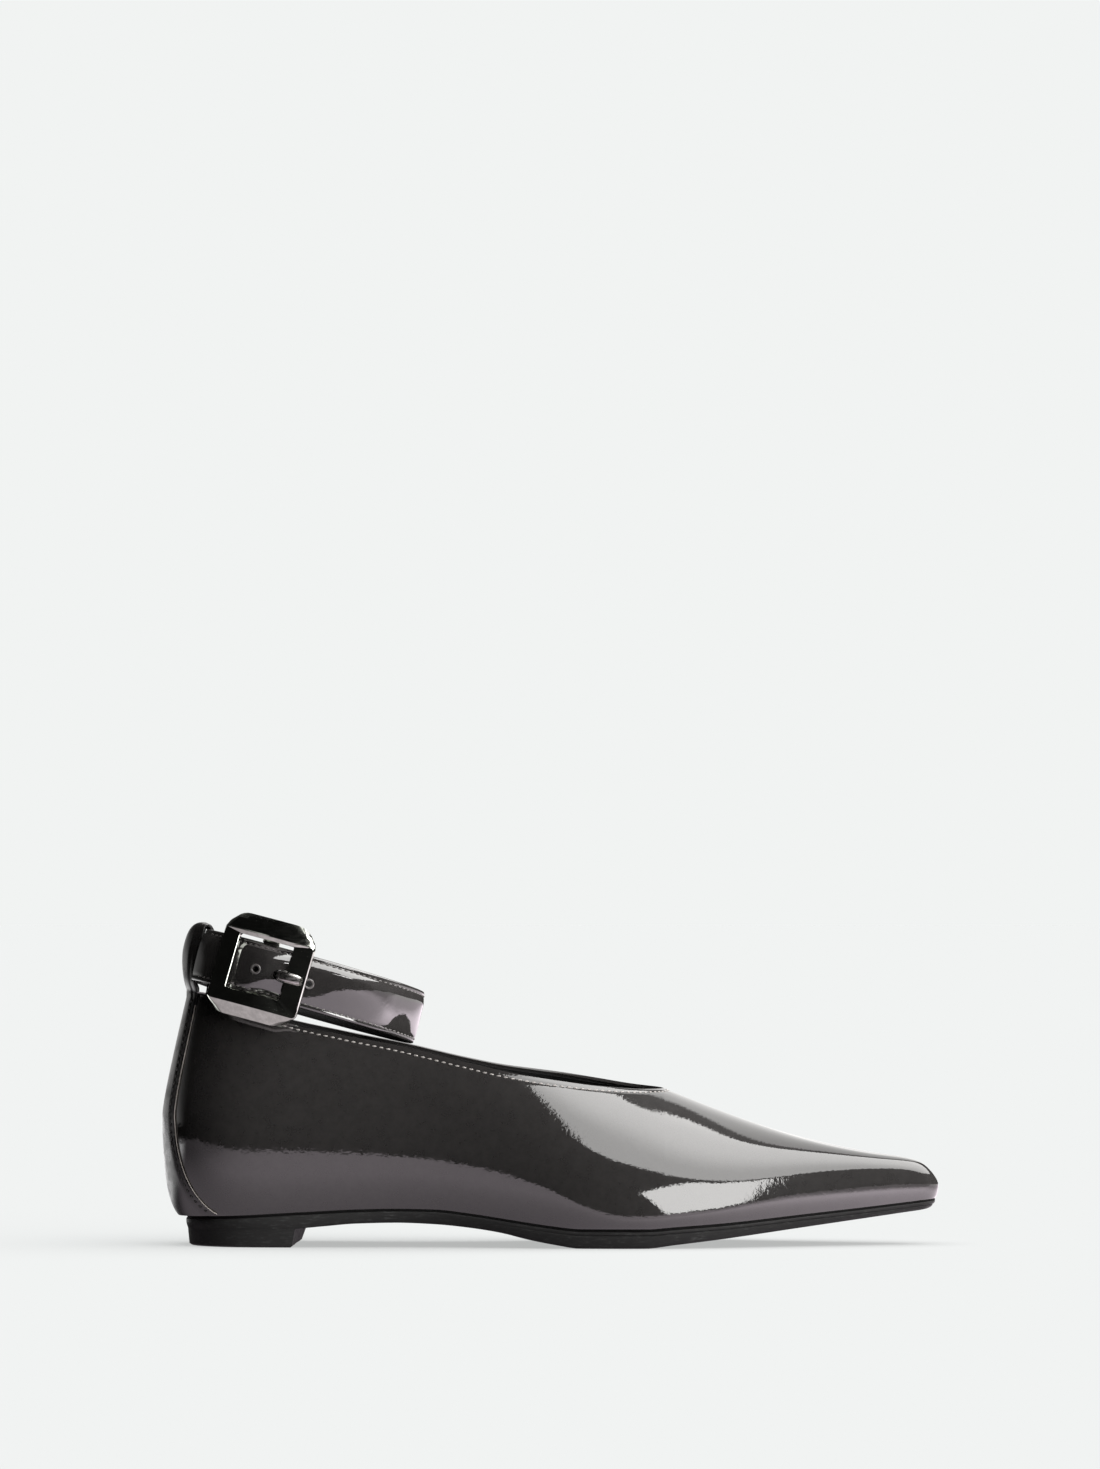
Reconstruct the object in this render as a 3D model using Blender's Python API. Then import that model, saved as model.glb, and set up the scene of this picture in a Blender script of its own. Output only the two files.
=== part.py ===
"""Pointed flat shoe for the right foot, with an ankle strap and a frame buckle."""
import math

import bmesh
import bpy
import numpy as np

for old in list(bpy.data.objects):
    bpy.data.objects.remove(old)

# Lengths are in millimetres. X runs from the back of the heel to the toe, +Y is the
# inner side of the foot, and Z is up from the ground.
MM = 0.001
ORIGIN_X = 135.0
ORIGIN_Y = 0.2

GAP = 0.3
UPPER_WALL = 1.6
INSOLE_THICK = 2.0
INSOLE_INSET = 2.6
SOLE_MARGIN = 0.8
SOLE_BEVEL_MIN = 0.5
SOLE_BEVEL_MAX = 2.2
SOLE_BEVEL_START = 55.0
SOLE_BEVEL_END = 110.0
SOLE_STEP = 1.4
SOLE_STEP_IN = 0.2

# One row per section of the last, from the back of the heel to the toe tip. The sole
# edge point is (foot_x, -outer_y or inner_y); the wall swells out by bulge up to the
# height widest_z; tuck lifts the start of that swelling; the section closes on the
# ridge line at (ridge_x, ridge_y, ridge_z); pull and crown set the fullness above.
SECTION_COLUMNS = (
    "foot_x", "outer_y", "inner_y", "bulge", "tuck", "widest_z",
    "ridge_x", "ridge_y", "ridge_z", "pull", "crown",
)
SECTIONS = (
    (9.5, 0.0, 0.0, 7.9, 0.5, 45.0, 23.2, 0.0, 140.0, 0.09, 1.00),
    (11.0, 8.2, 8.2, 7.8, 0.6, 44.8, 24.0, 0.0, 140.0, 0.10, 1.00),
    (15.5, 15.4, 15.4, 7.2, 1.0, 44.2, 26.2, 0.0, 140.0, 0.15, 1.00),
    (22.3, 20.8, 20.8, 6.3, 1.8, 43.4, 30.2, 0.0, 139.6, 0.25, 1.00),
    (31.0, 23.6, 23.4, 5.5, 2.6, 42.6, 36.8, 0.0, 138.4, 0.37, 1.00),
    (45.0, 24.8, 24.2, 4.9, 3.4, 41.4, 48.0, 0.0, 134.0, 0.50, 1.00),
    (65.0, 25.2, 22.9, 4.6, 3.8, 39.0, 66.0, 0.0, 123.0, 0.60, 1.00),
    (88.0, 25.9, 20.9, 4.4, 3.8, 35.4, 88.0, 0.0, 107.0, 0.70, 1.00),
    (112.0, 28.6, 21.6, 4.0, 3.2, 30.4, 112.0, 0.2, 89.0, 0.82, 0.97),
    (135.0, 32.2, 26.4, 3.5, 2.4, 21.0, 135.0, 0.5, 74.0, 0.92, 0.93),
    (155.0, 34.6, 32.0, 3.1, 1.8, 11.4, 155.0, 0.8, 62.6, 0.98, 0.90),
    (173.0, 33.8, 35.2, 2.8, 1.6, 10.8, 173.0, 1.1, 54.8, 0.96, 0.95),
    (193.0, 29.0, 33.8, 2.6, 1.6, 13.2, 192.0, 1.6, 47.2, 0.93, 1.02),
    (214.0, 21.7, 27.6, 2.4, 1.6, 17.4, 211.0, 2.0, 40.5, 0.95, 1.18),
    (235.0, 13.9, 20.0, 2.2, 1.6, 19.6, 230.0, 2.5, 34.9, 1.00, 1.70),
    (252.0, 7.4, 13.4, 2.0, 1.5, 20.8, 245.6, 2.7, 31.7, 1.00, 2.00),
    (262.0, 3.5, 9.6, 1.8, 1.3, 21.0, 255.0, 2.8, 30.3, 1.00, 1.40),
    (266.8, 1.0, 6.5, 1.7, 1.2, 20.8, 260.0, 2.8, 29.4, 1.00, 0.70),
    (268.3, -2.8, 2.8, 1.7, 1.2, 20.6, 261.4, 2.8, 29.1, 1.00, 0.35),
)
TUCK_WEIGHT = 1.0

# Height of the collar edge along the shoe; the throat lies at the last row.
COLLAR_COLUMNS = ("x", "z")
COLLAR = (
    (4.0, 88.9), (16.0, 87.0), (44.0, 77.7), (64.0, 73.4), (85.0, 69.3), (105.0, 64.4),
    (121.0, 60.6), (137.0, 57.8), (152.0, 55.8), (166.0, 54.5), (174.5, 54.2),
)
INNER_COLLAR_RISE = 1.7
INNER_RISE_MIDDLE = 140.0
INNER_RISE_SPREAD = 25.0

# Side view of the sole: the height of its upper edge and of its underside.
SOLE_COLUMNS = ("x", "top_z", "under_z")
SOLE_PROFILE = (
    (0.0, 9.7, 6.0), (20.0, 10.0, 6.0), (45.0, 11.4, 6.4), (56.0, 12.0, 7.3),
    (68.0, 12.6, 8.3), (82.0, 12.9, 8.6), (95.0, 12.7, 8.1), (108.0, 11.3, 6.8),
    (118.0, 9.8, 5.2), (127.0, 8.4, 3.0), (137.0, 7.0, 1.1), (145.0, 6.2, 0.0),
    (168.0, 6.1, 0.0), (178.0, 6.8, 1.1), (195.0, 8.0, 3.0), (222.0, 10.7, 6.5),
    (250.0, 13.5, 10.1), (271.0, 15.8, 12.8),
)
BREAST_OUTER_X = 47.0
BREAST_INNER_X = 50.4
BREAST_UNDERCUT = 2.4
BREAST_CLEAR = 2.0
HEEL_TAPER = 0.6
HEEL_FOOT_CHAMFER = 0.8

# Heel strip: half width of the overlay against height, then the loop above the collar
# as a side view of its middle line, ending inside the collar; edge_bend is how far its
# two edges lie in front of the middle line.
STRIP_THICK = 1.2
STRIP_FOOT_RISE = 1.3
STRIP_TOP_DROP = 3.2
STRIP_CROWDING = 1.25
STRIP_COLUMNS = ("z", "half_width")
STRIP_WIDTHS = (
    (9.0, 28.5), (14.0, 25.0), (20.0, 21.6), (28.0, 18.2), (38.0, 15.6), (50.0, 14.2),
    (65.0, 12.7), (78.0, 11.1), (84.5, 10.0), (88.0, 9.6), (92.0, 9.5),
)
LOOP_COLUMNS = ("x", "z", "edge_bend")
LOOP = (
    (9.9, 88.8, 3.0), (8.9, 92.4, 3.0), (8.4, 97.2, 3.9), (8.6, 102.0, 4.6), (9.7, 106.4, 4.8),
    (11.2, 109.4, 4.2), (13.4, 110.9, 3.4), (15.9, 110.4, 3.7), (17.8, 106.0, 3.8),
    (17.7, 99.8, 3.5), (16.4, 93.0, 3.2), (15.2, 86.0, 3.0), (14.6, 80.0, 3.0),
)
LOOP_HALF_WIDTH = 9.5

# Ankle strap: a tilted oval ring, its middle line measured along the arc.
RING_CENTRE = (51.1, 0.0, 89.5)
RING_HALF_LENGTH = 39.3
RING_HALF_WIDTH = 27.5
RING_PITCH = 15.8
RING_ROLL = 4.4
STRAP_WIDTH = 18.5
STRAP_THICK = 1.8
TAIL_LIFT = 3.1
TAIL_REST = 2.2
TAIL_RISE_START = 74.0
TAIL_RISE_END = 19.0
TAIL_END_ARC = 10.5
BUCKLE_ANGLE = 66.8
HOLE_PITCH = 8.8
HOLE_RADIUS = 1.0
PRONG_HOLE_ARC = 7.8
HOLE_ACROSS = -0.5
PRONG_HOLE_LONG = 3.2
PRONG_HOLE_WIDE = 2.1

# Buckle, in its own flat directions: along the strap, across it, and out from it.
WINDOW_BACK = -10.4
WINDOW_FRONT = 9.1
WINDOW_LOW = -9.0
WINDOW_HIGH = 10.3
PASSAGE_LOW = -10.9
PASSAGE_HIGH = 10.9
FRAME_COLUMNS = ("out", "half_along", "half_across", "corner", "centre_across")
FRAME_RINGS = (
    (-1.2, 14.3, 16.4, 4.4, 0.1),
    (0.2, 15.3, 17.6, 5.2, 0.1),
    (2.2, 15.7, 17.9, 5.4, 0.1),
    (6.2, 15.6, 13.0, 2.6, -1.1),
    (6.6, 15.3, 12.6, 2.2, -1.1),
)
FRAME_CENTRE_ALONG = 0.0
FRAME_UNDER_BARS = 4.3
FRAME_SLICE = 3.5
BAR_LONG = 1.3
BAR_DEEP = 0.75
EYE_WALL = 0.8
EYE_SLOT = 2.3
PRONG_HALF_WIDTH = 1.4
PRONG_THICK = 1.5
PRONG_COLUMNS = ("along", "out")
PRONG_PATH = (
    (2.0, 0.5), (3.9, 0.5), (5.5, 1.1), (6.5, 3.0), (7.2, 5.5), (8.4, 7.6), (10.6, 8.2),
    (14.4, 7.9),
)

# Mesh steps.
HEEL_STEPS = 22
HEEL_CROWDING = 1.25
THROAT_STEPS = 6
THROAT_REACH = 0.055
TOE_STEPS = 15
TOE_CROWDING = 1.35
LOWER_ROWS = 4
UPPER_ROWS = 8
STRIP_ROWS = 16
STRIP_COLS = 10
STRAP_STEP = 4.0
CORNER_STEPS = 4
OVAL_SIDES = 12
CUT_OVER = 1.0
CUT_FAR = 30.0


def column(table, names, name):
    return np.array([row[names.index(name)] for row in table], float)


def monotone(xs, ys):
    """Smooth curve through the rows that keeps level stretches level."""
    h = np.diff(xs)
    d = np.diff(ys) / h
    m = np.zeros(len(xs))
    for i in range(1, len(xs) - 1):
        if d[i - 1] * d[i] > 0:
            a = 2 * h[i] + h[i - 1]
            b = h[i] + 2 * h[i - 1]
            m[i] = (a + b) / (a / d[i - 1] + b / d[i])
    m[0], m[-1] = d[0], d[-1]

    def curve(x):
        x = min(max(x, xs[0]), xs[-1])
        i = min(int(np.searchsorted(xs, x, side="right")) - 1, len(xs) - 2)
        t = (x - xs[i]) / h[i]
        rise = ys[i] * (1 + 2 * t) * (1 - t) ** 2 + ys[i + 1] * t * t * (3 - 2 * t)
        return rise + h[i] * t * (1 - t) * (m[i] * (1 - t) - m[i + 1] * t)

    return curve


def smooth_step(t):
    t = min(max(t, 0.0), 1.0)
    return t * t * (3 - 2 * t)


def natural_curve(xs, ys):
    """Natural cubic curve through the rows."""
    n = len(xs)
    h = np.diff(xs)
    matrix = np.eye(n)
    right = np.zeros(n)
    for i in range(1, n - 1):
        matrix[i, i - 1 : i + 2] = h[i - 1], 2 * (h[i - 1] + h[i]), h[i]
        right[i] = 6 * ((ys[i + 1] - ys[i]) / h[i] - (ys[i] - ys[i - 1]) / h[i - 1])
    bend = np.linalg.solve(matrix, right)

    def curve(x):
        i = min(max(int(np.searchsorted(xs, x, side="right")) - 1, 0), n - 2)
        a, b = xs[i + 1] - x, x - xs[i]
        straight = (ys[i] / h[i] - bend[i] * h[i] / 6) * a
        straight += (ys[i + 1] / h[i] - bend[i + 1] * h[i] / 6) * b
        return straight + (bend[i] * a ** 3 + bend[i + 1] * b ** 3) / (6 * h[i])

    return curve


def closed_spline(knots, values, period):
    """Cubic curve through the rows, with smooth curvature all the way round."""
    n = len(knots)
    h = np.append(np.diff(knots), knots[0] + period - knots[-1])
    slope = (np.roll(values, -1) - values) / h
    matrix = np.zeros((n, n))
    for i in range(n):
        matrix[i, i - 1] += h[i - 1]
        matrix[i, i] += 2 * (h[i - 1] + h[i])
        matrix[i, (i + 1) % n] += h[i]
    bend = np.linalg.solve(matrix, 6 * (slope - np.roll(slope, 1)))

    def curve(q):
        q = (q - knots[0]) % period + knots[0]
        i = int(np.searchsorted(knots, q, side="right")) - 1
        j = (i + 1) % n
        a, b = h[i] - (q - knots[i]), q - knots[i]
        straight = (values[i] / h[i] - bend[i] * h[i] / 6) * a
        straight += (values[j] / h[i] - bend[j] * h[i] / 6) * b
        return straight + (bend[i] * a ** 3 + bend[j] * b ** 3) / (6 * h[i])

    return curve


sole_x = column(SOLE_PROFILE, SOLE_COLUMNS, "x")
sole_top = monotone(sole_x, column(SOLE_PROFILE, SOLE_COLUMNS, "top_z"))
sole_under = monotone(sole_x, column(SOLE_PROFILE, SOLE_COLUMNS, "under_z"))
collar_x = column(COLLAR, COLLAR_COLUMNS, "x")
collar_height = monotone(collar_x, column(COLLAR, COLLAR_COLUMNS, "z"))
THROAT_X = collar_x[-1]
strip_half = monotone(
    column(STRIP_WIDTHS, STRIP_COLUMNS, "z"), column(STRIP_WIDTHS, STRIP_COLUMNS, "half_width")
)


def last_curves():
    """One closed curve per column; 0 is the heel, 1 and -1 meet at the toe."""
    xs = column(SECTIONS, SECTION_COLUMNS, "foot_x")
    outer = column(SECTIONS, SECTION_COLUMNS, "outer_y")
    inner = column(SECTIONS, SECTION_COLUMNS, "inner_y")
    steps = np.hypot(np.diff(xs), np.diff((outer + inner) / 2))
    share = np.append(0.0, np.cumsum(steps))
    share /= share[-1]
    knots = np.concatenate((share, 2.0 - share[-2:0:-1]))
    curves = {}
    for name in SECTION_COLUMNS:
        values = column(SECTIONS, SECTION_COLUMNS, name)
        curves[name] = closed_spline(knots, np.concatenate((values, values[-2:0:-1])), 2.0)
    around = np.concatenate((inner, -outer[-2:0:-1]))
    curves["foot_y"] = closed_spline(knots, around, 2.0)
    return curves


LAST = last_curves()


def conic(a, b, c, weight, t):
    u, v, w = (1 - t) ** 2, 2 * weight * t * (1 - t), t * t
    return (a * u + b * v + c * w) / (u + v + w)


def section(q):
    """The five guiding points of the section at q, and its crown weight."""
    v = {name: curve(q) for name, curve in LAST.items()}
    foot = np.array((v["foot_x"], v["foot_y"], sole_top(v["foot_x"])))
    ridge = np.array((v["ridge_x"], v["ridge_y"], v["ridge_z"]))
    outward = foot[:2] - ridge[:2]
    outward /= np.linalg.norm(outward)
    side = foot[:2] + outward * v["bulge"]
    wide = np.array((*side, v["widest_z"]))
    tuck = np.array((*side, foot[2] + v["tuck"]))
    shoulder = np.array((*side, v["widest_z"] + v["pull"] * (v["ridge_z"] - v["widest_z"])))
    return foot, tuck, wide, shoulder, ridge, v["crown"]


def collar_z(x, q):
    rise = INNER_COLLAR_RISE * math.exp(-(((x - INNER_RISE_MIDDLE) / INNER_RISE_SPREAD) ** 2))
    return collar_height(x) + (rise if 0 < q < 1 else 0.0)


def collar_share(q):
    """How far up the section the collar edge cuts it; 1 where the vamp is closed."""
    _, _, wide, shoulder, ridge, crown = section(q)
    if ridge[0] >= THROAT_X - 1e-6:
        return 1.0
    low, high = 0.0, 1.0
    for _ in range(50):
        mid = (low + high) / 2
        point = conic(wide, shoulder, ridge, crown, mid)
        if point[2] < collar_z(point[0], q):
            low = mid
        else:
            high = mid
    return (low + high) / 2


def wall_point(q, height):
    """Point on the last: height 0 to 1 up to the widest line, 1 to 2 on to the ridge."""
    foot, tuck, wide, shoulder, ridge, crown = section(q)
    if height <= 1:
        return conic(foot, tuck, wide, TUCK_WEIGHT, height)
    return conic(wide, shoulder, ridge, crown, height - 1)


def wall_normal(q, height):
    step = 1e-4
    along = wall_point(q + step, height) - wall_point(q - step, height)
    up = wall_point(q, height + step) - wall_point(q, max(height - step, 0.0))
    normal = np.cross(up, along)
    return normal / np.linalg.norm(normal)


def throat_share():
    low, high = 0.3, 0.95
    for _ in range(60):
        mid = (low + high) / 2
        if LAST["ridge_x"](mid) < THROAT_X:
            low = mid
        else:
            high = mid
    return high


THROAT = throat_share()


def shares_along():
    """Section places from heel to toe, closer together at the throat and the tip."""
    reach = THROAT - THROAT_REACH
    back = [reach * (k / HEEL_STEPS) ** HEEL_CROWDING for k in range(HEEL_STEPS + 1)]
    throat = [THROAT - THROAT_REACH * (1 - k / THROAT_STEPS) ** 2 for k in range(1, THROAT_STEPS + 1)]
    toe = [1 - (1 - THROAT) * (1 - k / TOE_STEPS) ** TOE_CROWDING for k in range(1, TOE_STEPS + 1)]
    return back + throat + toe


SHARES = shares_along()


def around(shares):
    """Places round the whole shoe: inner side out to the toe, outer side back."""
    return shares + [-s for s in shares[-2:0:-1]]


def new_object(name, points, faces, colour, metallic=0.0, roughness=0.4):
    mesh = bpy.data.meshes.new(name)
    origin = np.array((ORIGIN_X, ORIGIN_Y, 0.0))
    mesh.from_pydata([tuple((np.array(p) - origin) * MM) for p in points], [], faces)
    obj = bpy.data.objects.new(name, mesh)
    bpy.context.collection.objects.link(obj)
    material = bpy.data.materials.new(name)
    material.use_nodes = True
    shader = material.node_tree.nodes["Principled BSDF"]
    shader.inputs["Base Color"].default_value = (*colour, 1.0)
    shader.inputs["Metallic"].default_value = metallic
    shader.inputs["Roughness"].default_value = roughness
    mesh.materials.append(material)
    return obj


def tidy(obj, weld=0.00001):
    mesh = obj.data
    work = bmesh.new()
    work.from_mesh(mesh)
    bmesh.ops.remove_doubles(work, verts=work.verts, dist=weld)
    bmesh.ops.recalc_face_normals(work, faces=work.faces)
    work.to_mesh(mesh)
    work.free()
    return obj


def flat_mesh(points, faces):
    mesh = bpy.data.meshes.new("shape")
    mesh.from_pydata([tuple(p) for p in points], [], faces)
    obj = bpy.data.objects.new("shape", mesh)
    bpy.context.collection.objects.link(obj)
    return tidy(obj)


def carved(body, cutters, operation="DIFFERENCE"):
    """The body after each cutter, as a plain mesh; the cutters are used up."""
    for cutter in cutters:
        change = body.modifiers.new("cut", "BOOLEAN")
        change.operation = operation
        change.solver = "EXACT"
        change.object = cutter
    graph = bpy.context.evaluated_depsgraph_get()
    mesh = bpy.data.meshes.new_from_object(body.evaluated_get(graph))
    body.modifiers.clear()
    body.data = mesh
    for cutter in cutters:
        bpy.data.objects.remove(cutter)
    return body


def prism(outline, low, high):
    """Upright solid over a flat outline."""
    n = len(outline)
    points = [(x, y, low) for x, y in outline] + [(x, y, high) for x, y in outline]
    faces = [tuple(range(n))[::-1], tuple(range(n, 2 * n))]
    faces += [(i, (i + 1) % n, n + (i + 1) % n, n + i) for i in range(n)]
    return flat_mesh(points, faces)


def box_outline(x0, x1, y0, y1):
    return [(x0, y0), (x1, y0), (x1, y1), (x0, y1)]


def oval(centre_x, centre_y, half_x, half_y):
    turns = [2 * math.pi * k / OVAL_SIDES for k in range(OVAL_SIDES)]
    return [(centre_x + half_x * math.cos(a), centre_y + half_y * math.sin(a)) for a in turns]


def build_upper():
    """Lasted shell: outer skin, inner skin one wall further in, and rims joining them."""
    rows = [k / LOWER_ROWS for k in range(LOWER_ROWS + 1)]
    places = around(SHARES)
    outside, inside = [], []
    for q in places:
        top = collar_share(abs(q)) if abs(q) >= THROAT else collar_share(q)
        heights = rows + [1 + top * k / UPPER_ROWS for k in range(1, UPPER_ROWS + 1)]
        for k, height in enumerate(heights):
            point = wall_point(q, height)
            closed_top = abs(q) >= THROAT - 1e-9 and k == len(heights) - 1
            normal = wall_normal(q, height - 1e-3 if closed_top else height)
            if closed_top:
                mirror = wall_normal(-q, height - 1e-3)
                normal = (normal + mirror) / np.linalg.norm(normal + mirror)
            if k == 0:
                normal[2] = min(normal[2], 0.0)
            outside.append(point)
            inside.append(point - normal * UPPER_WALL)
    count = LOWER_ROWS + UPPER_ROWS + 1
    total = len(places)
    shift = len(outside)
    faces = []
    for i in range(total):
        j = (i + 1) % total
        for k in range(count - 1):
            a, b, c, d = i * count + k, j * count + k, j * count + k + 1, i * count + k + 1
            faces.append((a, b, c, d))
            faces.append((shift + d, shift + c, shift + b, shift + a))
        faces.append((i * count, shift + i * count, shift + j * count, j * count))
        if abs(places[i]) < THROAT - 1e-9 or abs(places[j]) < THROAT - 1e-9:
            a, b = i * count + count - 1, j * count + count - 1
            faces.append((a, b, shift + b, shift + a))
    obj = new_object("upper", outside + inside, faces, (0.045, 0.042, 0.045), 0.6, 0.12)
    return tidy(obj)


def edge_point(q, grow):
    """Point of the sole edge in plan, moved out by grow."""
    step = 1e-4
    here = np.array((LAST["foot_x"](q), LAST["foot_y"](q)))
    run = np.array((LAST["foot_x"](q + step), LAST["foot_y"](q + step))) - here
    return here + np.array((-run[1], run[0])) / np.linalg.norm(run) * grow


def outline_ring(shares, grow, height):
    """Points round the sole edge, moved out by grow, at a height that depends on X."""
    ring = []
    for q in around(shares):
        x, y = edge_point(q, grow(LAST["foot_x"](q)))
        ring.append((x, y, height(x)))
    return ring


def stacked(rings, steps):
    """Closed solid through rings that all run round the same places."""
    n = 2 * steps
    points = [p for ring in rings for p in ring]
    faces = []
    for level in range(len(rings) - 1):
        low, high = level * n, (level + 1) * n
        for i in range(n):
            j = (i + 1) % n
            faces.append((low + i, low + j, high + j, high + i))
    top = (len(rings) - 1) * n
    for base, turn in ((0, 1), (top, -1)):
        for i in range(steps):
            quad = (base + i, base + i + 1, base + (n - i - 1) % n, base + (n - i) % n)
            face = tuple(dict.fromkeys(quad))
            faces.append(face[::turn])
    return points, faces


def build_outsole():
    def under_edge(x):
        share = smooth_step((x - SOLE_BEVEL_START) / (SOLE_BEVEL_END - SOLE_BEVEL_START))
        return SOLE_MARGIN - SOLE_BEVEL_MIN - (SOLE_BEVEL_MAX - SOLE_BEVEL_MIN) * share

    def step_edge(x):
        return SOLE_MARGIN - SOLE_STEP_IN

    def top_edge(x):
        return SOLE_MARGIN

    rings = (
        outline_ring(SHARES, under_edge, sole_under),
        outline_ring(SHARES, step_edge, lambda x: sole_top(x) - GAP - SOLE_STEP),
        outline_ring(SHARES, top_edge, lambda x: sole_top(x) - GAP),
    )
    points, faces = stacked(rings, len(SHARES) - 1)
    return tidy(new_object("outsole", points, faces, (0.012, 0.012, 0.013), 0.0, 0.55))


def build_heel_block():
    """Outline of the heel seat, cut off by a slanting breast."""
    back = [s for s in SHARES if LAST["foot_x"](s) < BREAST_OUTER_X - BREAST_CLEAR]
    levels = (
        (HEEL_TAPER + HEEL_FOOT_CHAMFER, BREAST_UNDERCUT + HEEL_FOOT_CHAMFER, 0.0),
        (HEEL_TAPER, BREAST_UNDERCUT, HEEL_FOOT_CHAMFER),
        (0.0, 0.0, None),
    )
    points, faces = [], []
    for inset, set_back, height in levels:
        grow = SOLE_MARGIN - SOLE_BEVEL_MIN - inset
        outer = [edge_point(-s, grow) for s in back[:0:-1]]
        inner = [edge_point(s, grow) for s in back]
        corner_out = (BREAST_OUTER_X - set_back / 2, outer[0][1])
        corner_in = (BREAST_INNER_X - set_back, inner[-1][1])
        ring = [corner_out, *outer, *inner, corner_in]
        points += [(x, y, sole_under(x) - GAP if height is None else height) for x, y in ring]
    size = len(ring)
    for level in range(len(levels) - 1):
        for i in range(size):
            j = (i + 1) % size
            low, high = level * size, (level + 1) * size
            faces.append((low + i, low + j, high + j, high + i))
    faces.append(tuple(range(size)))
    top = (len(levels) - 1) * size
    for i in range(size // 2):
        quad = (top + i, top + i + 1, top + size - 2 - i, top + size - 1 - i)
        faces.append(tuple(dict.fromkeys(quad)))
    return tidy(new_object("heel_block", points, faces, (0.012, 0.012, 0.013), 0.0, 0.55))


def build_insole():
    rings = [
        outline_ring(SHARES, lambda x: -INSOLE_INSET, lambda x, lift=lift: sole_top(x) + lift)
        for lift in (GAP, GAP + INSOLE_THICK)
    ]
    points, faces = stacked(rings, len(SHARES) - 1)
    return tidy(new_object("insole", points, faces, (0.03, 0.03, 0.032), 0.0, 0.7))


def back_place(z):
    """Height share of the back line at z."""
    low, high = 0.0, 2.0
    for _ in range(50):
        mid = (low + high) / 2
        if wall_point(0.0, mid)[2] < z:
            low = mid
        else:
            high = mid
    return (low + high) / 2


def strip_reach(height, half_width):
    """How far round the heel a strip of this half width runs at one height."""
    run, q, step = 0.0, 0.0, 0.004
    while run < half_width:
        run += np.linalg.norm(wall_point(q + step, height) - wall_point(q, height))
        q += step
    return q - step * (run - half_width) / np.linalg.norm(
        wall_point(q, height) - wall_point(q - step, height)
    )


def sheet_solid(name, grid, thick, colour, metallic, roughness):
    """Solid of even thickness behind a grid of points; thickness goes along the normals."""
    grid = np.array(grid)
    across = np.gradient(grid, axis=1)
    along = np.gradient(grid, axis=0)
    normal = np.cross(along, across)
    normal /= np.linalg.norm(normal, axis=2)[:, :, None]
    rows, cols = grid.shape[:2]
    points = [*grid.reshape(-1, 3), *(grid + normal * thick).reshape(-1, 3)]
    shift = rows * cols
    faces = []
    for r in range(rows - 1):
        for c in range(cols - 1):
            a, b = r * cols + c, r * cols + c + 1
            d, e = a + cols, b + cols
            faces += [(a, b, e, d), (shift + d, shift + e, shift + b, shift + a)]
    rim = [c for c in range(cols)]
    rim += [r * cols + cols - 1 for r in range(1, rows)]
    rim += [(rows - 1) * cols + c for c in range(cols - 2, -1, -1)]
    rim += [r * cols for r in range(rows - 2, 0, -1)]
    for a, b in zip(rim, rim[1:] + rim[:1]):
        faces.append((b, a, shift + a, shift + b))
    return tidy(new_object(name, points, faces, colour, metallic, roughness))


def build_heel_strip():
    """Overlay lying a gap off the quarters, running on into the strap loop."""
    foot_z = wall_point(0.0, 0.0)[2] + STRIP_FOOT_RISE
    top_z = collar_height(collar_x[0]) - STRIP_TOP_DROP
    shares = np.linspace(-1.0, 1.0, STRIP_COLS + 1)
    grid = []
    for k in range(STRIP_ROWS + 1):
        z = foot_z + (top_z - foot_z) * (k / STRIP_ROWS) ** STRIP_CROWDING
        height = back_place(z)
        reach = strip_reach(height, strip_half(z))
        row = []
        for share in shares:
            q = reach * share
            row.append(wall_point(q, height) + wall_normal(q, height) * GAP)
        grid.append(row)
    turns = np.arange(len(LOOP), dtype=float)
    loop_x = natural_curve(turns, column(LOOP, LOOP_COLUMNS, "x"))
    loop_z = natural_curve(turns, column(LOOP, LOOP_COLUMNS, "z"))
    loop_bend = natural_curve(turns, column(LOOP, LOOP_COLUMNS, "edge_bend"))
    for turn in np.linspace(0.0, len(LOOP) - 1.0, 2 * len(LOOP) - 1):
        row = []
        for share in shares:
            y = share * LOOP_HALF_WIDTH
            row.append(np.array((loop_x(turn) + loop_bend(turn) * share ** 2, y, loop_z(turn))))
        grid.append(row)
    return sheet_solid("heel_strip", grid, STRIP_THICK, (0.05, 0.047, 0.05), 0.6, 0.2)


ring_turns = np.linspace(0.0, 2 * math.pi, 1441)
ring_flat = np.column_stack(
    (-RING_HALF_LENGTH * np.cos(ring_turns), -RING_HALF_WIDTH * np.sin(ring_turns))
)
ring_arc = np.append(0.0, np.cumsum(np.linalg.norm(np.diff(ring_flat, axis=0), axis=1)))
RING_ROUND = ring_arc[-1]
BUCKLE_ARC = float(np.interp(math.radians(BUCKLE_ANGLE), ring_turns, ring_arc))
pitch, roll = math.radians(RING_PITCH), math.radians(RING_ROLL)
ring_fore = np.array((math.cos(pitch), 0.0, -math.sin(pitch)))
ring_in = np.array((0.0, math.cos(roll), -math.sin(roll)))
ring_up = np.cross(ring_fore, ring_in)
ring_up /= np.linalg.norm(ring_up)


def on_ring(along, across, out):
    """Point in the shoe from strap directions; along is 0 at the buckle, positive to the toe."""
    turn = float(np.interp((BUCKLE_ARC + along) % RING_ROUND, ring_arc, ring_turns))
    fore, side = -RING_HALF_LENGTH * math.cos(turn), -RING_HALF_WIDTH * math.sin(turn)
    normal = np.array((-math.cos(turn) / RING_HALF_LENGTH, -math.sin(turn) / RING_HALF_WIDTH))
    normal /= np.linalg.norm(normal)
    fore, side = np.array((fore, side)) + normal * out
    return np.array(RING_CENTRE) + ring_fore * fore + ring_in * side + ring_up * across


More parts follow.
